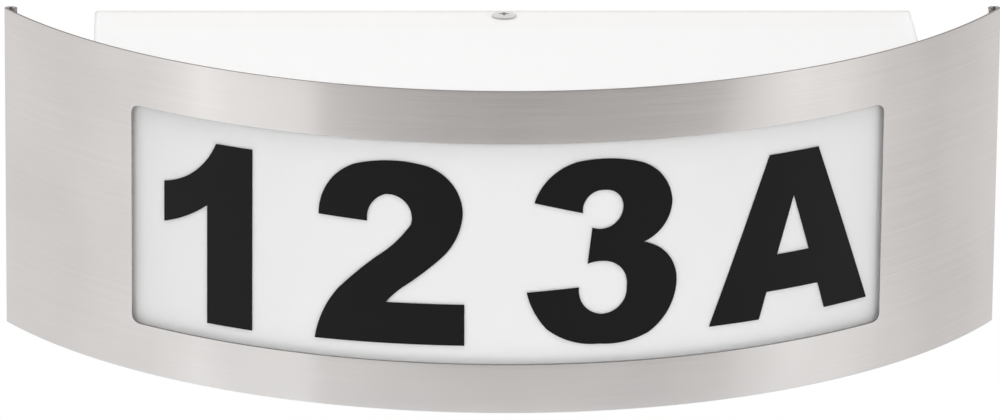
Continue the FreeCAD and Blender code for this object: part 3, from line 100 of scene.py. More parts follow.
class Graph:
    """One node tree, with short ways to add nodes and join them."""

    def __init__(self, tree: bpy.types.NodeTree) -> None:
        """Hold the node tree to work on."""
        self.tree = tree

    def add(self, kind: str, **settings: object) -> bpy.types.Node:
        """Add one node.

        Args:
            kind: the node's type name.
            settings: properties to set on it.

        Returns:
            The new node.
        """
        node = self.tree.nodes.new(kind)
        for name, value in settings.items():
            setattr(node, name, value)
        return node

    def feed(self, source: Feed, target: Socket) -> None:
        """Join a socket to another, or write a value into it.

        Args:
            source: the socket or the value.
            target: the socket that takes it.
        """
        if isinstance(source, Socket):
            self.tree.links.new(source, target)
        else:
            target.default_value = source

    def math(self, operation: str, first: Feed, second: Feed = 0.0, clamp: bool = False) -> Socket:
        """One sum of two values.

        Args:
            operation: the Math node's operation.
            first: its first value.
            second: its second value.
            clamp: keep the answer from 0 to 1.

        Returns:
            The answer's socket.
        """
        node = self.add("ShaderNodeMath", operation=operation, use_clamp=clamp)
        self.feed(first, node.inputs[0])
        self.feed(second, node.inputs[1])
        return node.outputs[0]

    def centred(self, value: Feed) -> Socket:
        """A value from 0 to 1, moved to lie round 0."""
        return self.math("SUBTRACT", value, MIDDLE)

    def step(self, value: Feed, low: float, high: float) -> Socket:
        """A smooth step of a value from 0 to 1.

        Args:
            value: what to step on.
            low: where the step starts.
            high: where it ends.

        Returns:
            The answer's socket.
        """
        node = self.add("ShaderNodeMapRange", interpolation_type="SMOOTHSTEP")
        self.feed(value, node.inputs["Value"])
        node.inputs["From Min"].default_value = low
        node.inputs["From Max"].default_value = high
        return node.outputs["Result"]

    def mix(self, factor: Feed, first: Paint, second: Paint, blend: str = "MIX") -> Socket:
        """A mix of two colours.

        Args:
            factor: share of the second colour.
            first: the first colour.
            second: the second colour.
            blend: how they are mixed.

        Returns:
            The mixed colour's socket.
        """
        node = self.add("ShaderNodeMix", data_type="RGBA", blend_type=blend)
        self.feed(factor, node.inputs["Factor"])
        for colour, socket in ((first, node.inputs[MIX_FIRST]), (second, node.inputs[MIX_SECOND])):
            self.feed(colour if isinstance(colour, Socket) else (*colour, 1.0), socket)
        return node.outputs[MIX_RESULT]

    def shaded(self, colour: Paint, shade: Socket) -> Socket:
        """A colour times a shade.

        Args:
            colour: the colour.
            shade: what each of its channels is multiplied by.

        Returns:
            The shaded colour's socket.
        """
        grey = self.add("ShaderNodeCombineColor")
        for channel in grey.inputs:
            self.feed(shade, channel)
        return self.mix(1.0, colour, grey.outputs[0], "MULTIPLY")

    def uneven(self, value: Feed, swing: Socket, amount: Feed) -> Socket:
        """A value from 0 to 1 plus a share of a swing about 0."""
        return self.math("ADD", value, self.math("MULTIPLY", swing, amount), clamp=True)

    def noise(self, vector: Socket, scale: Feed, detail: float) -> Socket:
        """Noise from 0 to 1 over a vector.

        Args:
            vector: the place that it runs on.
            scale: its scale.
            detail: how many finer layers it has.

        Returns:
            The noise's socket.
        """
        node = self.add("ShaderNodeTexNoise")
        self.feed(vector, node.inputs["Vector"])
        self.feed(scale, node.inputs["Scale"])
        node.inputs["Detail"].default_value = detail
        return node.outputs["Fac"]

    def place(self) -> Socket:
        """The place on the surface in the object's own frame."""
        return self.add("ShaderNodeTexCoord").outputs["Object"]

    def split(self, vector: Socket) -> bpy.types.Node:
        """Split a vector.

        Args:
            vector: the vector's socket.

        Returns:
            The node whose outputs are X, Y and Z.
        """
        node = self.add("ShaderNodeSeparateXYZ")
        self.feed(vector, node.inputs[0])
        return node

    def blend(self, factor: Feed, first: Socket, second: Socket) -> Socket:
        """A mix of two shaders.

        Args:
            factor: share of the second shader.
            first: the first shader.
            second: the second shader.

        Returns:
            The mixed shader's socket.
        """
        node = self.add("ShaderNodeMixShader")
        for source, target in zip((factor, first, second), node.inputs):
            self.feed(source, target)
        return node.outputs[0]

    def background(self, colour: Feed, strength: float = 1.0) -> Socket:
        """A world's background shader.

        Args:
            colour: its colour.
            strength: its strength.

        Returns:
            The shader's socket.
        """
        node = self.add("ShaderNodeBackground")
        self.feed(colour, node.inputs["Color"])
        self.feed(strength, node.inputs["Strength"])
        return node.outputs[0]

    def mirrored(self, rays: bpy.types.Node) -> Socket:
        """Whether a Light Path node's ray was mirrored or went through glass."""
        return self.math("MAXIMUM", rays.outputs["Is Glossy Ray"], rays.outputs["Is Transmission Ray"])


def new_group(name: str, inputs: Sequence[tuple[str, str, object]]) -> tuple[
        bpy.types.NodeTree, Graph, bpy.types.bpy_prop_collection, bpy.types.bpy_prop_collection]:
    """Start an effect's node group, which gives a colour, a roughness and a height.

    Args:
        name: the group's name.
        inputs: name, socket type and value of each input.

    Returns:
        The group, its graph, what it is given and what it has to make.
    """
    tree = bpy.data.node_groups.new(name, "ShaderNodeTree")
    for label, kind, value in inputs:
        socket = tree.interface.new_socket(name=label, in_out="INPUT", socket_type=kind)
        if value is not None:
            socket.default_value = value
    for label, kind in (("Color", "NodeSocketColor"), ("Roughness", "NodeSocketFloat"),
                        ("Height", "NodeSocketFloat")):
        tree.interface.new_socket(name=label, in_out="OUTPUT", socket_type=kind)
    graph = Graph(tree)
    return tree, graph, graph.add("NodeGroupInput").outputs, graph.add("NodeGroupOutput").inputs


def moulded_skin() -> bpy.types.NodeTree:
    """The skin of moulded plastic: faint cloudiness, uneven gloss and a fine worn texture.

    Returns:
        The node group.
    """
    tree, graph, given, made = new_group("moulded_skin", (
        ("Position", "NodeSocketVector", None), ("Color", "NodeSocketColor", (0.8, 0.8, 0.8, 1.0)),
        ("Cloudiness", "NodeSocketFloat", 0.03), ("Roughness", "NodeSocketFloat", 0.4),
        ("Unevenness", "NodeSocketFloat", 0.06), ("Texture Scale", "NodeSocketFloat", 1800.0)))
    cloud = graph.centred(graph.noise(given["Position"], *CLOUDS))
    shade = graph.math("ADD", graph.math("MULTIPLY", cloud, given["Cloudiness"]), 1.0)
    patch = graph.centred(graph.noise(given["Position"], *GLOSS_PATCHES))
    graph.feed(graph.shaded(given["Color"], shade), made["Color"])
    graph.feed(graph.uneven(given["Roughness"], patch, given["Unevenness"]), made["Roughness"])
    graph.feed(graph.noise(given["Position"], given["Texture Scale"], TEXTURE_DETAIL), made["Height"])
    return tree


def metal_grain() -> bpy.types.NodeTree:
    """Fine marks drawn out one way on metal, with slight staining.

    Returns:
        The node group.
    """
    tree, graph, given, made = new_group("metal_grain", (
        ("Position", "NodeSocketVector", None), ("Stretch", "NodeSocketVector", (60.0, 60.0, 2600.0)),
        ("Color", "NodeSocketColor", (0.7, 0.7, 0.7, 1.0)), ("Contrast", "NodeSocketFloat", 0.1),
        ("Staining", "NodeSocketFloat", 0.06), ("Roughness", "NodeSocketFloat", 0.3),
        ("Unevenness", "NodeSocketFloat", 0.1)))
    drawn = graph.add("ShaderNodeVectorMath", operation="MULTIPLY")
    graph.feed(given["Position"], drawn.inputs[0])
    graph.feed(given["Stretch"], drawn.inputs[1])
    fine = graph.noise(drawn.outputs[0], *FINE_MARKS)
    coarse = graph.noise(drawn.outputs[0], *COARSE_MARKS)
    marks = graph.math("ADD", graph.math("MULTIPLY", fine, FINE_SHARE),
                       graph.math("MULTIPLY", coarse, COARSE_SHARE))
    swing = graph.centred(marks)
    stain = graph.centred(graph.noise(given["Position"], *STAINS))
    shade = graph.math("ADD", graph.math("MULTIPLY", swing, given["Contrast"]),
                       graph.math("ADD", graph.math("MULTIPLY", stain, given["Staining"]), 1.0))
    graph.feed(graph.shaded(given["Color"], shade), made["Color"])
    graph.feed(graph.uneven(given["Roughness"], swing, given["Unevenness"]), made["Roughness"])
    graph.feed(marks, made["Height"])
    return tree


@dataclass
class Effects:
    """The node groups that the finishes share, each built once."""

    skin: bpy.types.NodeTree = field(default_factory=moulded_skin)
    grain: bpy.types.NodeTree = field(default_factory=metal_grain)


def place_effect(graph: Graph, effect: bpy.types.NodeTree, position: Socket,
                 values: dict[str, object]) -> bpy.types.Node:
    """Put a shared effect into a material.

    Args:
        graph: the material's graph.
        effect: the effect's node group.
        position: socket with the place on the surface.
        values: the group's input values by name.

    Returns:
        The group node.
    """
    node = graph.add("ShaderNodeGroup", node_tree=effect)
    graph.feed(position, node.inputs["Position"])
    for label, value in values.items():
        node.inputs[label].default_value = value
    return node


def new_material(name: str) -> tuple[bpy.types.Material, Graph, bpy.types.Node]:
    """An empty material with its Principled shader.

    Args:
        name: the material's name.

    Returns:
        The material, its graph and the shader node.
    """
    material = bpy.data.materials.new(name)
    material.use_nodes = True
    material.node_tree.nodes.clear()
    graph = Graph(material.node_tree)
    shader = graph.add("ShaderNodeBsdfPrincipled")
    output = graph.add("ShaderNodeOutputMaterial")
    graph.feed(shader.outputs["BSDF"], output.inputs["Surface"])
    return material, graph, shader


def join_effect(graph: Graph, shader: bpy.types.Node, effect: bpy.types.Node, colour: Socket,
                depth: float) -> None:
    """Join a colour and an effect's roughness and height to the shader.

    Args:
        graph: the material's graph.
        shader: its Principled shader.
        effect: the effect's node in it.
        colour: the finished colour.
        depth: metres from the effect's lowest place to its highest.
    """
    graph.feed(colour, shader.inputs["Base Color"])
    graph.feed(effect.outputs["Roughness"], shader.inputs["Roughness"])
    bump = graph.add("ShaderNodeBump")
    bump.inputs["Strength"].default_value = 1.0
    bump.inputs["Distance"].default_value = depth
    graph.feed(effect.outputs["Height"], bump.inputs["Height"])
    graph.feed(bump.outputs["Normal"], shader.inputs["Normal"])


# ---------------------------------------------------------------- finishes

# Turns the long way of anisotropic gloss across the marks, as a share of a turn.
QUARTER_TURN = 0.25


@dataclass(frozen=True)
class MouldedPlastic:
    """Moulded plastic, rubber or foam."""

    name: str
    color: Color
    roughness: float = 0.45
    cloudiness: float = 0.04
    unevenness: float = 0.08
    texture_scale: float = 1800.0
    texture_depth: float = 0.00001
    coat: float = 0.0
    gloss: float = 0.5

    def make(self, effects: Effects) -> bpy.types.Material:
        """Build the material.

        Args:
            effects: the shared node groups.

        Returns:
            The material.
        """
        material, graph, shader = new_material(self.name)
        skin = place_effect(graph, effects.skin, graph.place(), {
            "Color": (*self.color, 1.0), "Cloudiness": self.cloudiness, "Roughness": self.roughness,
            "Unevenness": self.unevenness, "Texture Scale": self.texture_scale})
        join_effect(graph, shader, skin, skin.outputs["Color"], self.texture_depth)
        shader.inputs["Coat Weight"].default_value = self.coat
        shader.inputs["Specular IOR Level"].default_value = self.gloss
        return material


@dataclass(frozen=True)
class Metal:
    """Bare or plated metal with marks that run one way."""

    name: str
    color: Color
    grain: Grain = Grain.TURNED
    roughness: float = 0.3
    contrast: float = 0.12
    staining: float = 0.06
    unevenness: float = 0.12
    anisotropy: float = 0.0
    mark_depth: float = 0.000004

    def make(self, effects: Effects) -> bpy.types.Material:
        """Build the material.

        Args:
            effects: the shared node groups.

        Returns:
            The material.
        """
        material, graph, shader = new_material(self.name)
        marks = place_effect(graph, effects.grain, graph.place(), {
            "Stretch": self.grain.value, "Color": (*self.color, 1.0), "Contrast": self.contrast,
            "Staining": self.staining, "Roughness": self.roughness, "Unevenness": self.unevenness})
        join_effect(graph, shader, marks, marks.outputs["Color"], self.mark_depth)
        shader.inputs["Metallic"].default_value = 1.0
        shader.inputs["Anisotropic"].default_value = self.anisotropy
        shader.inputs["Anisotropic Rotation"].default_value = QUARTER_TURN if self.anisotropy else 0.0
        return material


@dataclass(frozen=True)
class OpalPlastic:
    """Opal plastic with a warm band painted near the wall: painted shade standing in for the tray's skirt
    seen through the opal.
    """

    name: str
    color: Color
    warm: Color
    band_edge: float
    band_reach: Pair
    band_blur: float = 0.0012
    corner_inside: float = 0.003
    corner_outside: float = 0.002
    roughness: float = 0.3
    cloudiness: float = 0.012
    unevenness: float = 0.05
    texture_scale: float = 900.0
    texture_depth: float = 0.000003
    scatter_share: float = 0.9
    scatter_reach: float = 0.003

    def make(self, effects: Effects) -> bpy.types.Material:
        """Build the material.

        Args:
            effects: the shared node groups.

        Returns:
            The material.
        """
        material, graph, shader = new_material(self.name)
        place = graph.place()
        skin = place_effect(graph, effects.skin, place, {
            "Color": (*self.color, 1.0), "Cloudiness": self.cloudiness, "Roughness": self.roughness,
            "Unevenness": self.unevenness, "Texture Scale": self.texture_scale})
        spot = graph.split(place).outputs
        # Painted shade: a warm band from the wall forward, fading out at the box's side corners, in place
        # of the tray's skirt showing through the opal wall.
        near_wall = graph.step(spot["Y"], self.band_edge - self.band_blur, self.band_edge + self.band_blur)
        past_side, past_level = (
            graph.step(graph.math("ABSOLUTE", spot[axis]),
                       reach - self.corner_inside, reach + self.corner_outside)
            for axis, reach in zip(("X", "Z"), self.band_reach))
        corner = graph.math("MULTIPLY", past_side, past_level)
        band = graph.math("MULTIPLY", near_wall, graph.math("SUBTRACT", 1.0, corner))
        colour = graph.mix(band, skin.outputs["Color"], self.warm)
        join_effect(graph, shader, skin, colour, self.texture_depth)
        shader.inputs["Subsurface Weight"].default_value = self.scatter_share
        shader.inputs["Subsurface Radius"].default_value = (1.0, 1.0, 1.0)
        shader.inputs["Subsurface Scale"].default_value = self.scatter_reach
        return material


@dataclass(frozen=True)
class StripedJacket:
    """Two-coloured wire insulation."""

    name: str
    first: Color
    second: Color
    pitch: float = 0.009
    slant: float = 2.2
    first_share: float = 0.6
    roughness: float = 0.42
    cloudiness: float = 0.05
    unevenness: float = 0.08
    texture_scale: float = 1500.0
    texture_depth: float = 0.000006

    def make(self, effects: Effects) -> bpy.types.Material:
        """Build the material.

        Args:
            effects: the shared node groups.

        Returns:
            The material.
        """
        material, graph, shader = new_material(self.name)
        place = graph.place()
        spot = graph.split(place).outputs
        along = graph.math("ADD", spot["X"], graph.math("MULTIPLY", spot["Y"], self.slant))
        run = graph.math("FRACT", graph.math("DIVIDE", along, self.pitch))
        stripe = graph.math("GREATER_THAN", run, self.first_share)
        skin = place_effect(graph, effects.skin, place, {
            "Color": WHITE, "Cloudiness": self.cloudiness, "Roughness": self.roughness,
            "Unevenness": self.unevenness, "Texture Scale": self.texture_scale})
        stripes = graph.mix(stripe, self.first, self.second)
        colour = graph.mix(1.0, stripes, skin.outputs["Color"], "MULTIPLY")
        join_effect(graph, shader, skin, colour, self.texture_depth)
        return material


PANEL_STEEL = Metal("panel_steel", (0.70, 0.695, 0.69), Grain.ALONG, roughness=0.245, contrast=0.16,
                    staining=0.25, unevenness=0.08, anisotropy=0.985, mark_depth=0.0000008)
# Cut faces: rougher steel than the panel, painted much darker as painted shade and dark reflection along
# the sheet's rims and curls.
CUT_EDGE_SHADE = Metal("cut_edge_shade", (0.30, 0.295, 0.285), Grain.TURNED, roughness=0.5, contrast=0.2)
SCREW_STEEL = Metal("screw_steel", (0.69, 0.71, 0.715), Grain.TURNED, roughness=0.22)
ZINC = Metal("zinc_plate", (0.64, 0.65, 0.66), Grain.ROLLED, roughness=0.36, contrast=0.16)
BRASS = Metal("brass", (0.78, 0.60, 0.30), Grain.TURNED, roughness=0.28)
NICKEL = Metal("nickel_plate", (0.72, 0.69, 0.64), Grain.TURNED, roughness=0.22)
# The second colour, with the band's edge and reach, is the painted see-through shade of the tray's skirt.
OPAL = OpalPlastic("opal_plastic", (0.93, 0.927, 0.924), (0.925, 0.912, 0.89), -0.0215, (0.1415, 0.0535))
TRAY_MOULDING = MouldedPlastic("tray_moulding", (0.90, 0.88, 0.84), 0.5, texture_depth=0.00002)
BLACK_FILM = MouldedPlastic("black_film", (0.0052, 0.0052, 0.0054), 0.5, 0.25, 0.1, 2400.0, 0.000004,
                            gloss=0.18)
SEAL_FOAM = MouldedPlastic("seal_foam", (0.045, 0.045, 0.047), 0.85, 0.4, 0.1, 1400.0, 0.0001)
SOFT_RUBBER = MouldedPlastic("soft_rubber", (0.03, 0.03, 0.031), 0.62, 0.3, 0.12, 1200.0, 0.00002)
HOLDER_MOULDING = MouldedPlastic("holder_moulding", (0.86, 0.85, 0.81), 0.36, coat=0.1)
BLOCK_MOULDING = MouldedPlastic("block_moulding", (0.86, 0.86, 0.83), 0.4, 0.06)
NYLON = MouldedPlastic("nylon", (0.84, 0.84, 0.82), 0.42, 0.05)
BROWN_JACKET = MouldedPlastic("brown_jacket", (0.17, 0.075, 0.035), 0.4, 0.1)
BLUE_JACKET = MouldedPlastic("blue_jacket", (0.04, 0.15, 0.42), 0.4, 0.1)
EARTH_JACKET = StripedJacket("earth_jacket", (0.06, 0.32, 0.07), (0.78, 0.66, 0.05))
LAMP_WHITE = MouldedPlastic("lamp_white", (0.88, 0.88, 0.87), 0.28, 0.03, coat=0.15)
LAMP_OPAL = MouldedPlastic("lamp_opal", (0.92, 0.92, 0.905), 0.34, 0.02, 0.05, 700.0, 0.000003)
LAMP_BLACK = MouldedPlastic("lamp_black", (0.02, 0.02, 0.021), 0.3, 0.2)
Finish = Union[Metal, MouldedPlastic, OpalPlastic, StripedJacket]


@dataclass
class Workshop:
    """Makes each finish once and dresses pieces in it."""

    effects: Effects = field(default_factory=Effects)
    made: dict[str, bpy.types.Material] = field(default_factory=dict)

    def material(self, finish: Finish) -> bpy.types.Material:
        """The material of a finish, built at its first use.

        Args:
            finish: the finish.

        Returns:
            Its material.
        """
        if finish.name not in self.made:
            self.made[finish.name] = finish.make(self.effects)
        return self.made[finish.name]

    def dress_nodes(self, finishes: Iterable[tuple[str, Finish]]) -> None:
        """Give CAD nodes their finishes.

        Args:
            finishes: each CAD node's name and what it is finished in.
        """
        for name, finish in finishes:
            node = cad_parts[name]
            node.data.materials.clear()
            node.data.materials.append(self.material(finish))
            LOG.info("%s finished in %s", name, finish.name)

    def dress_piece(self, piece: bpy.types.Object, finish: Finish, body: Body,
                    stands_for: Iterable[str]) -> None:
        """Finish a new piece and put it on its body in place of CAD nodes.

        Args:
            piece: the new object.
            finish: what it is finished in.
            body: the CAD body that carries it.
            stands_for: the CAD nodes that it replaces.
        """
        piece.data.materials.append(self.material(finish))
        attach(piece, body.value)
        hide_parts(*stands_for)
        LOG.info("%s built, on %s", piece.name, body.value)


# ---------------------------------------------------------------- meshes

# The parts of a sheet's column of vertices: below, beside and above its window.
BELOW, BESIDE, ABOVE = 0, 1, 2
HEIGHT_DIGITS = 7
TOLERANCE = 1e-9
ROUNDING_FACES = 2
NORMAL_WEIGHT = 90


def new_object(name: str, mesh: bmesh.types.BMesh) -> bpy.types.Object:
    """Turn a bmesh into a smooth-shaded object in the scene.

    Args:
        name: the object's name.
        mesh: the bmesh, which is freed.

    Returns:
        The object.
    """
    bmesh.ops.recalc_face_normals(mesh, faces=mesh.faces)
    for face in mesh.faces:
        face.smooth = True
    data = bpy.data.meshes.new(name)
    mesh.to_mesh(data)
    mesh.free()
    made = bpy.data.objects.new(name, data)
    bpy.context.scene.collection.objects.link(made)
    return made


def round_edges(piece: bpy.types.Object, width: float, angle: float) -> None:
    """Round a piece's sharp edges and even out its shading.

    Args:
        piece: the object.
        width: width of the rounding.
        angle: edges sharper than this many degrees are rounded.
    """
    bevel = piece.modifiers.new("rounded_edges", "BEVEL")
    bevel.width = width
    bevel.segments = ROUNDING_FACES
    bevel.limit_method = "ANGLE"
    bevel.angle_limit = math.radians(angle)
    bevel.use_clamp_overlap = True
    even = piece.modifiers.new("even_shading", "WEIGHTED_NORMAL")
    even.keep_sharp = True
    even.weight = NORMAL_WEIGHT


def spread(start: float, stop: float, count: int) -> list[float]:
    """Values from a start to a stop in a number of equal steps, with both ends."""
    return [start + (stop - start) * step / count for step in range(count + 1)]


@dataclass
class SheetMesh:
    """A bent sheet's mesh, whose UV map is the sheet laid out flat."""

    mesh: bmesh.types.BMesh = field(default_factory=bmesh.new)
    flat: dict[bmesh.types.BMVert, Point] = field(default_factory=dict)
    layer: bmesh.types.BMLayerItem = field(init=False)

    def __post_init__(self) -> None:
        """Start the UV map."""
        self.layer = self.mesh.loops.layers.uv.new("sheet")

    def column(self, point: Point, length: float, rows: Sequence[list[float]]) -> Column:
        """Add one column of vertices.

        Args:
            point: its place in plan.
            length: its place along the sheet laid out flat.
            rows: heights of its vertices below, beside and above the window.

        Returns:
            The vertices in the same three lists, which share those at the window's edges.
        """
        made: dict[float, bmesh.types.BMVert] = {}
        column = []
        for heights in rows:
            for height in heights:
                key = round(height, HEIGHT_DIGITS)
                if key not in made:
                    made[key] = self.mesh.verts.new((*point, height))
                    self.flat[made[key]] = (length, height)
            column.append([made[round(height, HEIGHT_DIGITS)] for height in heights])
        return column

    def face(self, *corners: bmesh.types.BMVert, cut: bool = False) -> None:
        """Add one face.

        Args:
            corners: its vertices in order.
            cut: whether it is a cut edge, which takes the second material: rougher steel painted darker as
                shade.
        """
        made = self.mesh.faces.new(corners)
        made.material_index = int(cut)
        for loop in made.loops:
            loop[self.layer].uv = self.flat[loop.vert]

    def close(self, outer: list[bmesh.types.BMVert], inner: list[bmesh.types.BMVert]) -> None:
        """Add an upright cut edge.

        Args:
            outer: its vertices on the sheet's outer side, from the lowest up.
            inner: those on the inner side.
        """
        for row in range(len(outer) - 1):
            self.face(outer[row], outer[row + 1], inner[row + 1], inner[row], cut=True)

    def span(self, left: tuple[Column, Column], right: tuple[Column, Column]) -> None:
        """Add the faces between two neighbouring places along the sheet.

        Args:
            left: the outer and the inner column of the first place.
            right: those of the second.
        """
        (outer_left, inner_left), (outer_right, inner_right) = left, right
        solid = bool(outer_left[BESIDE] and outer_right[BESIDE])
        for part in (BELOW, BESIDE, ABOVE) if solid else (BELOW, ABOVE):
            for row in range(len(outer_left[part]) - 1):
                self.face(outer_left[part][row], outer_right[part][row],
                          outer_right[part][row + 1], outer_left[part][row + 1])
                self.face(inner_left[part][row], inner_left[part][row + 1],
                          inner_right[part][row + 1], inner_right[part][row])
        for part, row in ((BELOW, 0), (ABOVE, -1)):
            self.face(outer_left[part][row], inner_left[part][row],
                      inner_right[part][row], outer_right[part][row], cut=True)
        if solid:
            return
        for part, row in ((BELOW, -1), (ABOVE, 0)):
            self.face(outer_left[part][row], outer_right[part][row],
                      inner_right[part][row], inner_left[part][row], cut=True)


@dataclass
class SteelPanel:
    """The curved panel: one bent sheet with a window and curled ends."""

    depth: float = 0.1065
    half_height: float = 0.0595
    sheet: float = 0.001
    arc_half: float = 0.179728
    arc_end: float = 0.0035
    curl_inside: float = 0.001
    curl_flat: float = 0.0007
    curl_play: float = 0.0003
    window_half: float = 0.134
    window_top: float = 0.04005
    window_bottom: float = -0.04145
    window_round: float = 0.0028
    spacing: float = 0.003
    corner_steps: int = 6
    bend_steps: tuple[int, int] = (16, 12)
    band_rows: int = 6
    side_rows: int = 16
    edge_round: float = 0.00016
    edge_angle: float = 32.0

    @property
    def radius(self) -> float:
        """Outer radius of the panel's curve."""
        sagitta = self.depth - self.arc_end
        return (self.arc_half ** 2 + sagitta ** 2) / (2 * sagitta)

    @property
    def centre(self) -> float:
        """Y of the curve's axis."""
        return self.radius - self.depth

    @property
    def window_length(self) -> float:
        """Length along the sheet from its middle to the window's side."""
        return self.radius * math.asin(self.window_half / self.radius)

    def arc_depth(self, radius: float, across: float) -> float:
        """Y of a circle about the curve's axis at a distance to the side."""
        return self.centre - math.sqrt(radius * radius - across * across)

    def stations(self) -> list[Station]:
        """Places along the right half of the sheet's plan, from the middle out.

        Returns:
            Outer point, inner point and length along the sheet of each place.
        """
        inside = self.radius - self.sheet
        edge = self.window_half
        corner = [edge - self.window_round * (1 - math.sin(math.pi / 2 * step / self.corner_steps))
                  for step in range(self.corner_steps + 1)]
        sides = spread(0.0, corner[0], int(edge / self.spacing))[:-1] + corner
        places = [((x, self.arc_depth(self.radius, x)), (x, self.arc_depth(inside, x)),
                   self.radius * math.asin(x / self.radius)) for x in sides]
        start, end = math.asin(edge / self.radius), math.asin(self.arc_half / self.radius)
        count = int((end - start) * self.radius / self.spacing)
        for angle in spread(start, end, count)[1:]:
            out = (math.sin(angle), -math.cos(angle))
            places.append(((self.radius * out[0], self.centre + self.radius * out[1]),
                           (inside * out[0], self.centre + inside * out[1]), self.radius * angle))
        return places + self.curl(end, places[-1][2])

    def curl(self, end: float, length: float) -> list[Station]:
        """Places round the closed curl at the panel's end.

        Args:
            end: angle of the arc's end, in radians.
            length: length along the sheet up to there.

        Returns:
            Outer point, inner point and length of each place.
        """
        outer = self.curl_inside + self.sheet
        middle = self.curl_inside + self.sheet / 2
        first = ((self.radius - outer) * math.sin(end), self.centre - (self.radius - outer) * math.cos(end))
        second = (first[0] - self.curl_flat, first[1])
        begin = math.atan2(-math.cos(end), math.sin(end))
        places = []
        for bend, start, angles in (
            (first, begin, spread(begin, math.pi / 2, self.bend_steps[0])[1:]),
            (second, math.pi / 2, spread(math.pi / 2, math.pi, self.bend_steps[1])),
        ):
            for angle in angles:
                out = (math.cos(angle), math.sin(angle))
                places.append(((bend[0] + outer * out[0], bend[1] + outer * out[1]),
                               (bend[0] + self.curl_inside * out[0], bend[1] + self.curl_inside * out[1]),
                               length + middle * (angle - start)))
            length = places[-1][2] + self.curl_flat
        tip = self.arc_depth(self.radius - self.sheet, second[0] - self.curl_inside) + self.curl_play
        places.append(((second[0] - outer, tip), (second[0] - self.curl_inside, tip),
                       length + first[1] - tip))
        return places

    def rows(self, across: float) -> tuple[list[float], list[float], list[float]]:
        """Heights of the mesh rows at a distance to the side.

        Args:
            across: distance from the middle, at most half the window's width.

        Returns:
            The heights below, beside (empty inside the window) and above the window.
        """
        short = max(0.0, across - (self.window_half - self.window_round))
        rest = self.window_round ** 2 - min(short, self.window_round) ** 2
        drop = self.window_round - math.sqrt(max(rest, 0.0))
        bottom, top = self.window_bottom + drop, self.window_top - drop
        beside = spread(bottom, top, self.side_rows) if across >= self.window_half - TOLERANCE else []
        return (spread(-self.half_height, bottom, self.band_rows), beside,
                spread(top, self.half_height, self.band_rows))

    def build(self) -> bpy.types.Object:
        """Build the sheet.

        Returns:
            The panel.
        """
        half = self.stations()
        mirrored = [((-outer[0], outer[1]), (-inner[0], inner[1]), -length)
                    for outer, inner, length in half[:0:-1]]
        sheet = SheetMesh()
        columns = []
        for outer, inner, length in mirrored + half:
            in_window = abs(length) < self.window_length
            rows = self.rows(min(abs(outer[0]), self.window_half) if in_window else self.window_half)
            columns.append(tuple(sheet.column(point, length, rows) for point in (outer, inner)))
        for left, right in zip(columns, columns[1:]):
            sheet.span(left, right)
        for end in (columns[0], columns[-1]):
            sheet.close(*(side[BELOW][:-1] + side[BESIDE][:-1] + side[ABOVE] for side in end))
        for outer, inner in columns:
            edge = outer[BESIDE]
            if edge and abs(sheet.flat[edge[0]][0]) < self.window_length + TOLERANCE:
                sheet.close(edge, inner[BESIDE])
        panel = new_object("steel_panel", sheet.mesh)
        round_edges(panel, self.edge_round, self.edge_angle)
        return panel

    def dress(self, workshop: Workshop) -> None:
        """Build the panel, finish it and put it on the cover.

        Args:
            workshop: what makes the finishes.
        """
        panel = self.build()
        workshop.dress_piece(panel, PANEL_STEEL, Body.COVER, ("front_panel",))
        # The second material is for the cut faces: steel painted darker as shade.
        panel.data.materials.append(workshop.material(CUT_EDGE_SHADE))


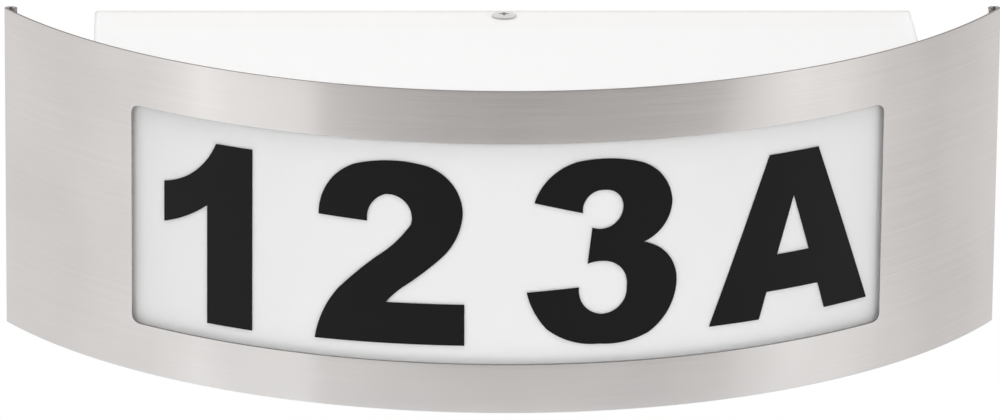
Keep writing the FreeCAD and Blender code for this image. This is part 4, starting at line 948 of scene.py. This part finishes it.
@dataclass
class CoverScrew:
    """A low domed screw with a tapered cross recess."""

    name: str
    node: str
    body: Body
    upward: bool
    depth: float = 0.0072
    seat: float = 0.0579
    head_radius: float = 0.0045
    head_height: float = 0.0008
    head_corner: float = 0.00012
    edge_share: float = 0.45
    shank_radius: float = 0.002
    tip_share: float = 0.6
    length: float = 0.0124
    thread_pitch: float = 0.0007
    thread_depth: float = 0.00022
    wing_length: float = 0.0018
    wing_width: float = 0.0005
    wing_side_slope: float = 0.00014
    wing_end_slope: float = 0.0009
    wing_fullness: float = 1.2
    recess_depth: float = 0.0012
    rings: int = 26
    steps: int = 96
    edge_round: float = 0.00006
    edge_angle: float = 40.0

    def dome(self, radius: float) -> float:
        """Height of the head's dome.

        Args:
            radius: distance from the screw's axis.

        Returns:
            The height over the head's seat.
        """
        rise = self.head_height * (1 - self.edge_share)
        crown = (self.head_radius ** 2 + rise ** 2) / (2 * rise)
        return self.head_height - crown + math.sqrt(crown * crown - radius * radius)

    def sunk(self, across: float, along: float) -> float:
        """Depth of the cross recess under the dome at a place on the head.

        Args:
            across: first distance from the screw's axis.
            along: second distance from the axis, square to the first.

        Returns:
            The depth in metres, 0 outside the recess.
        """
        wings = []
        for far, near in ((abs(across), abs(along)), (abs(along), abs(across))):
            side = (self.wing_width - near) / self.wing_side_slope
            end = (self.wing_length - far) / self.wing_end_slope
            wings.append(max(0.0, min(1.0, side, end * self.wing_fullness)))
        return self.recess_depth * max(wings)

    def profile(self) -> list[Point]:
        """Outline of the screw from its tip to the edge of its dome.

        Returns:
            Radius and height of each ring of vertices.
        """
        core = self.shank_radius - self.thread_depth
        outline = [(self.shank_radius * self.tip_share, -self.length)]
        height = -self.length + self.thread_pitch
        while height < -self.thread_pitch:
            outline.append((core, height))
            outline.append((self.shank_radius, height + self.thread_pitch / 2))
            height += self.thread_pitch
        return outline + [(core, 0.0), (self.head_radius - self.head_corner, 0.0),
                          (self.head_radius, self.head_corner),
                          (self.head_radius, self.head_height * self.edge_share)]

    def build(self) -> bpy.types.Object:
        """Build the screw in its place.

        Returns:
            The screw.
        """
        angles = [FULL_TURN * step / self.steps for step in range(self.steps)]
        rings = [[(radius * math.cos(angle), radius * math.sin(angle), level) for angle in angles]
                 for radius, level in self.profile()]
        for ring in range(1, self.rings):
            radius = self.head_radius * (1 - ring / self.rings)
            spots = [(radius * math.cos(angle), radius * math.sin(angle)) for angle in angles]
            rings.append([(*spot, self.dome(radius) - self.sunk(*spot)) for spot in spots])
        mesh = bmesh.new()
        made = [[mesh.verts.new(spot) for spot in ring] for ring in rings]
        bottom = mesh.verts.new((0.0, 0.0, -self.length))
        top = mesh.verts.new((0.0, 0.0, self.dome(0.0) - self.recess_depth))
        for lower, upper in zip(made, made[1:]):
            for step in range(self.steps):
                after = (step + 1) % self.steps
                mesh.faces.new((lower[step], lower[after], upper[after], upper[step]))
        for step in range(self.steps):
            after = (step + 1) % self.steps
            mesh.faces.new((bottom, made[0][after], made[0][step]))
            mesh.faces.new((made[-1][step], made[-1][after], top))
        sign, turn = (1.0, 0.0) if self.upward else (-1.0, math.pi)
        place = Matrix.Translation((0.0, -self.depth, self.seat * sign))
        mesh.transform(place @ Matrix.Rotation(turn, 4, "X"))
        screw = new_object(self.name, mesh)
        round_edges(screw, self.edge_round, self.edge_angle)
        return screw

    def dress(self, workshop: Workshop) -> None:
        """Build the screw, finish it and put it on its body."""
        workshop.dress_piece(self.build(), SCREW_STEEL, self.body, (self.node,))


@dataclass
class Cover:
    """The panel, and the opal box with its characters and the panel's fasteners."""

    panel: SteelPanel = field(default_factory=SteelPanel)
    finishes: tuple[tuple[str, Finish], ...] = (
        ("opal_diffuser", OPAL), ("numeral_1", BLACK_FILM), ("numeral_2", BLACK_FILM),
        ("numeral_3", BLACK_FILM), ("letter_a", BLACK_FILM), ("panel_studs", ZINC),
        ("panel_spacers", NYLON), ("panel_nuts", ZINC),
    )

    def dress(self, workshop: Workshop) -> None:
        """Build the panel and finish the cover's other pieces."""
        self.panel.dress(workshop)
        workshop.dress_nodes(self.finishes)


@dataclass
class Base:
    """The tray on the wall with its lampholder, terminal block and wires."""

    finishes: tuple[tuple[str, Finish], ...] = (
        ("base_tray", TRAY_MOULDING), ("wall_seal", SEAL_FOAM), ("cable_grommet", SOFT_RUBBER),
        ("threaded_inserts", BRASS), ("lamp_bracket", ZINC), ("bracket_screws", ZINC),
        ("earth_lug", NICKEL), ("holder_nipple", BRASS), ("nipple_nut", ZINC),
        ("lampholder_body", HOLDER_MOULDING), ("lampholder_screw_shell", NICKEL),
        ("lampholder_centre_contact", BRASS), ("terminal_block", BLOCK_MOULDING),
        ("terminal_block_screws", ZINC), ("terminal_tubes", BRASS), ("terminal_screws", ZINC),
        ("live_wire", BROWN_JACKET), ("neutral_wire", BLUE_JACKET), ("earth_wire", EARTH_JACKET),
    )

    def dress(self, workshop: Workshop) -> None:
        """Finish the base's pieces."""
        workshop.dress_nodes(self.finishes)


@dataclass
class Lamp:
    """The screw-cap lamp."""

    finishes: tuple[tuple[str, Finish], ...] = (
        ("lamp_end_contact", ZINC), ("lamp_insulator", LAMP_BLACK), ("lamp_cap", NICKEL),
        ("lamp_housing", LAMP_WHITE), ("lamp_globe", LAMP_OPAL),
    )

    def dress(self, workshop: Workshop) -> None:
        """Finish the lamp's pieces."""
        workshop.dress_nodes(self.finishes)


# ---------------------------------------------------------------- studio


@dataclass(frozen=True)
class Softbox:
    """An elliptical softbox."""

    name: str
    place: Place
    size: Pair
    power: float
    mirrored: bool = False

    def hang(self, aim: Place) -> None:
        """Hang it in its place, out of the camera's sight.

        Args:
            aim: the place that it looks at.
        """
        data = bpy.data.lights.new(self.name, "AREA")
        data.shape = "ELLIPSE"
        data.size, data.size_y = self.size
        data.energy = self.power
        lamp = bpy.data.objects.new(self.name, data)
        lamp.location = self.place
        lamp.rotation_euler = (Vector(aim) - Vector(self.place)).to_track_quat("-Z", "Y").to_euler()
        lamp.visible_camera = False
        lamp.visible_glossy = self.mirrored
        bpy.context.scene.collection.objects.link(lamp)


@dataclass
class Studio:
    """Pale floor, white room, soft light and the camera."""

    aim: Place = (-0.00238, -0.052, -0.00138)
    distance: float = 3.2
    elevation: float = 0.30935
    turn: float = 0.03736
    roll: float = 0.01036
    pixels_per_metre: float = 2794.4
    image_width: float = 1000.0
    sensor_width: float = 36.0
    far_clip: float = 50.0
    floor_place: Place = (0.0, -0.05, -0.45)
    floor_radius: float = 1.15
    floor_sides: int = 96
    floor_roughness: float = 0.8
    floor_pale: Color = (0.9, 0.9, 0.9)
    floor_specks: Color = (0.92, 0.92, 0.92)
    floor_noise: Pair = (40.0, 3.0)
    floor_fade: Pair = (0.35, 0.95)
    plain_light: float = 0.4
    # Degrees round the sign from its front, and how bright metal shows the room there.
    room: tuple[Pair, ...] = (
        (-180.0, 1.0), (-128.0, 0.9), (-98.0, 0.88), (-84.0, 0.95), (-75.0, 1.0), (-64.0, 1.22),
        (-55.0, 0.93), (-38.0, 0.78), (-36.5, 0.5), (-20.0, 0.38), (0.0, 0.26), (30.0, 0.28),
        (42.0, 0.36), (46.0, 0.45), (48.5, 0.6), (64.0, 1.08), (72.0, 1.1), (84.0, 0.85),
        (98.0, 0.72), (117.0, 0.84), (132.0, 0.9), (180.0, 1.0),
    )
    room_tint: Color = (0.0, -0.04, -0.055)
    softboxes: tuple[Softbox, ...] = (
        Softbox("top_softbox", (-0.2, -0.25, 1.5), (1.8, 1.3), 16.0),
        Softbox("left_softbox", (-1.1, -2.1, 0.65), (1.4, 1.4), 11.4),
        Softbox("right_softbox", (1.25, -2.0, 0.65), (1.4, 1.4), 12.7),
        Softbox("low_strip", (0.0, -0.62, -0.32), (2.6, 0.16), 0.72, mirrored=True),
    )

    def camera(self) -> None:
        """Put the camera where the photograph was taken from."""
        data = bpy.data.cameras.new("camera")
        data.sensor_width = self.sensor_width
        data.lens = self.pixels_per_metre * self.distance / self.image_width * data.sensor_width
        data.clip_end = self.far_clip
        level = Vector((math.cos(self.turn), -math.sin(self.turn), 0.0))
        ahead = Vector((math.sin(self.turn) * math.cos(self.elevation),
                        math.cos(self.turn) * math.cos(self.elevation), -math.sin(self.elevation)))
        upward = level.cross(ahead)
        right = level * math.cos(self.roll) + upward * math.sin(self.roll)
        up = upward * math.cos(self.roll) - level * math.sin(self.roll)
        place = Vector(self.aim) - ahead * self.distance
        columns = (right, up, -ahead)
        made = bpy.data.objects.new("camera", data)
        made.matrix_world = Matrix([[*(column[row] for column in columns), place[row]] for row in range(3)]
                                   + [[0.0, 0.0, 0.0, 1.0]])
        bpy.context.scene.collection.objects.link(made)
        bpy.context.scene.camera = made

    def mirrored_room(self, graph: Graph) -> Socket:
        """The room as metal shows it: a darker front between two pale sides.

        Args:
            graph: the world's graph.

        Returns:
            The room's colour, by the angle round the sign.
        """
        direction = graph.split(graph.add("ShaderNodeTexCoord").outputs["Generated"]).outputs
        angle = graph.math("ARCTAN2", direction["X"], graph.math("MULTIPLY", direction["Y"], -1.0))
        turn = graph.math("ADD", graph.math("DIVIDE", angle, FULL_TURN), MIDDLE)
        room = graph.add("ShaderNodeValToRGB")
        room.color_ramp.interpolation = "LINEAR"
        stops = room.color_ramp.elements
        while len(stops) < len(self.room):
            stops.new(MIDDLE)
        for stop, (degrees, level) in zip(stops, self.room):
            stop.position = degrees / FULL_TURN_DEGREES + MIDDLE
            stop.color = (*(level + tint for tint in self.room_tint), 1.0)
        graph.feed(turn, room.inputs[0])
        return room.outputs[0]

    def world(self) -> None:
        """A room that gives plain light, looks white to the camera and has its own look in metal."""
        world = bpy.data.worlds.new("white_room")
        world.use_nodes = True
        world.node_tree.nodes.clear()
        graph = Graph(world.node_tree)
        rays = graph.add("ShaderNodeLightPath")
        lit = graph.blend(graph.mirrored(rays), graph.background(WHITE, self.plain_light),
                          graph.background(self.mirrored_room(graph)))
        seen = graph.blend(rays.outputs["Is Camera Ray"], lit, graph.background(WHITE))
        graph.feed(seen, graph.add("ShaderNodeOutputWorld").inputs["Surface"])
        bpy.context.scene.world = world

    def floor(self) -> None:
        """A pale round floor that fades into the white room."""
        mesh = bmesh.new()
        bmesh.ops.create_circle(mesh, cap_ends=True, segments=self.floor_sides, radius=self.floor_radius)
        floor = new_object("floor", mesh)
        floor.location = self.floor_place
        material, graph, shader = new_material("pale_floor")
        shader.inputs["Roughness"].default_value = self.floor_roughness
        place = graph.place()
        speck = graph.noise(place, *self.floor_noise)
        graph.feed(graph.mix(speck, self.floor_pale, self.floor_specks), shader.inputs["Base Color"])
        far = graph.add("ShaderNodeVectorMath", operation="LENGTH")
        graph.feed(place, far.inputs[0])
        rays = graph.add("ShaderNodeLightPath")
        shown = graph.math("MAXIMUM", rays.outputs["Is Camera Ray"], graph.mirrored(rays))
        fade = graph.math("MULTIPLY", graph.step(far.outputs["Value"], *self.floor_fade), shown)
        white = graph.add("ShaderNodeEmission").outputs[0]
        output = next(node for node in graph.tree.nodes if node.type == "OUTPUT_MATERIAL")
        graph.feed(graph.blend(fade, shader.outputs[0], white), output.inputs["Surface"])
        floor.data.materials.append(material)

    def build(self) -> None:
        """Set the studio up."""
        bpy.context.scene.view_settings.view_transform = "Standard"
        self.camera()
        self.world()
        self.floor()
        for softbox in self.softboxes:
            softbox.hang(self.aim)
        LOG.info("studio ready")


def main() -> None:
    """Build the studio, then each sub-assembly in turn."""
    logging.basicConfig(level=logging.INFO, format="%(name)s: %(message)s")
    workshop = Workshop()
    Studio().build()
    for unit in (
        Cover(), Base(), Lamp(),
        CoverScrew("top_screw_piece", "cover_screw_top", Body.TOP_SCREW, True),
        CoverScrew("bottom_screw_piece", "cover_screw_bottom", Body.BOTTOM_SCREW, False),
    ):
        unit.dress(workshop)


if __name__ == "__main__":
    main()
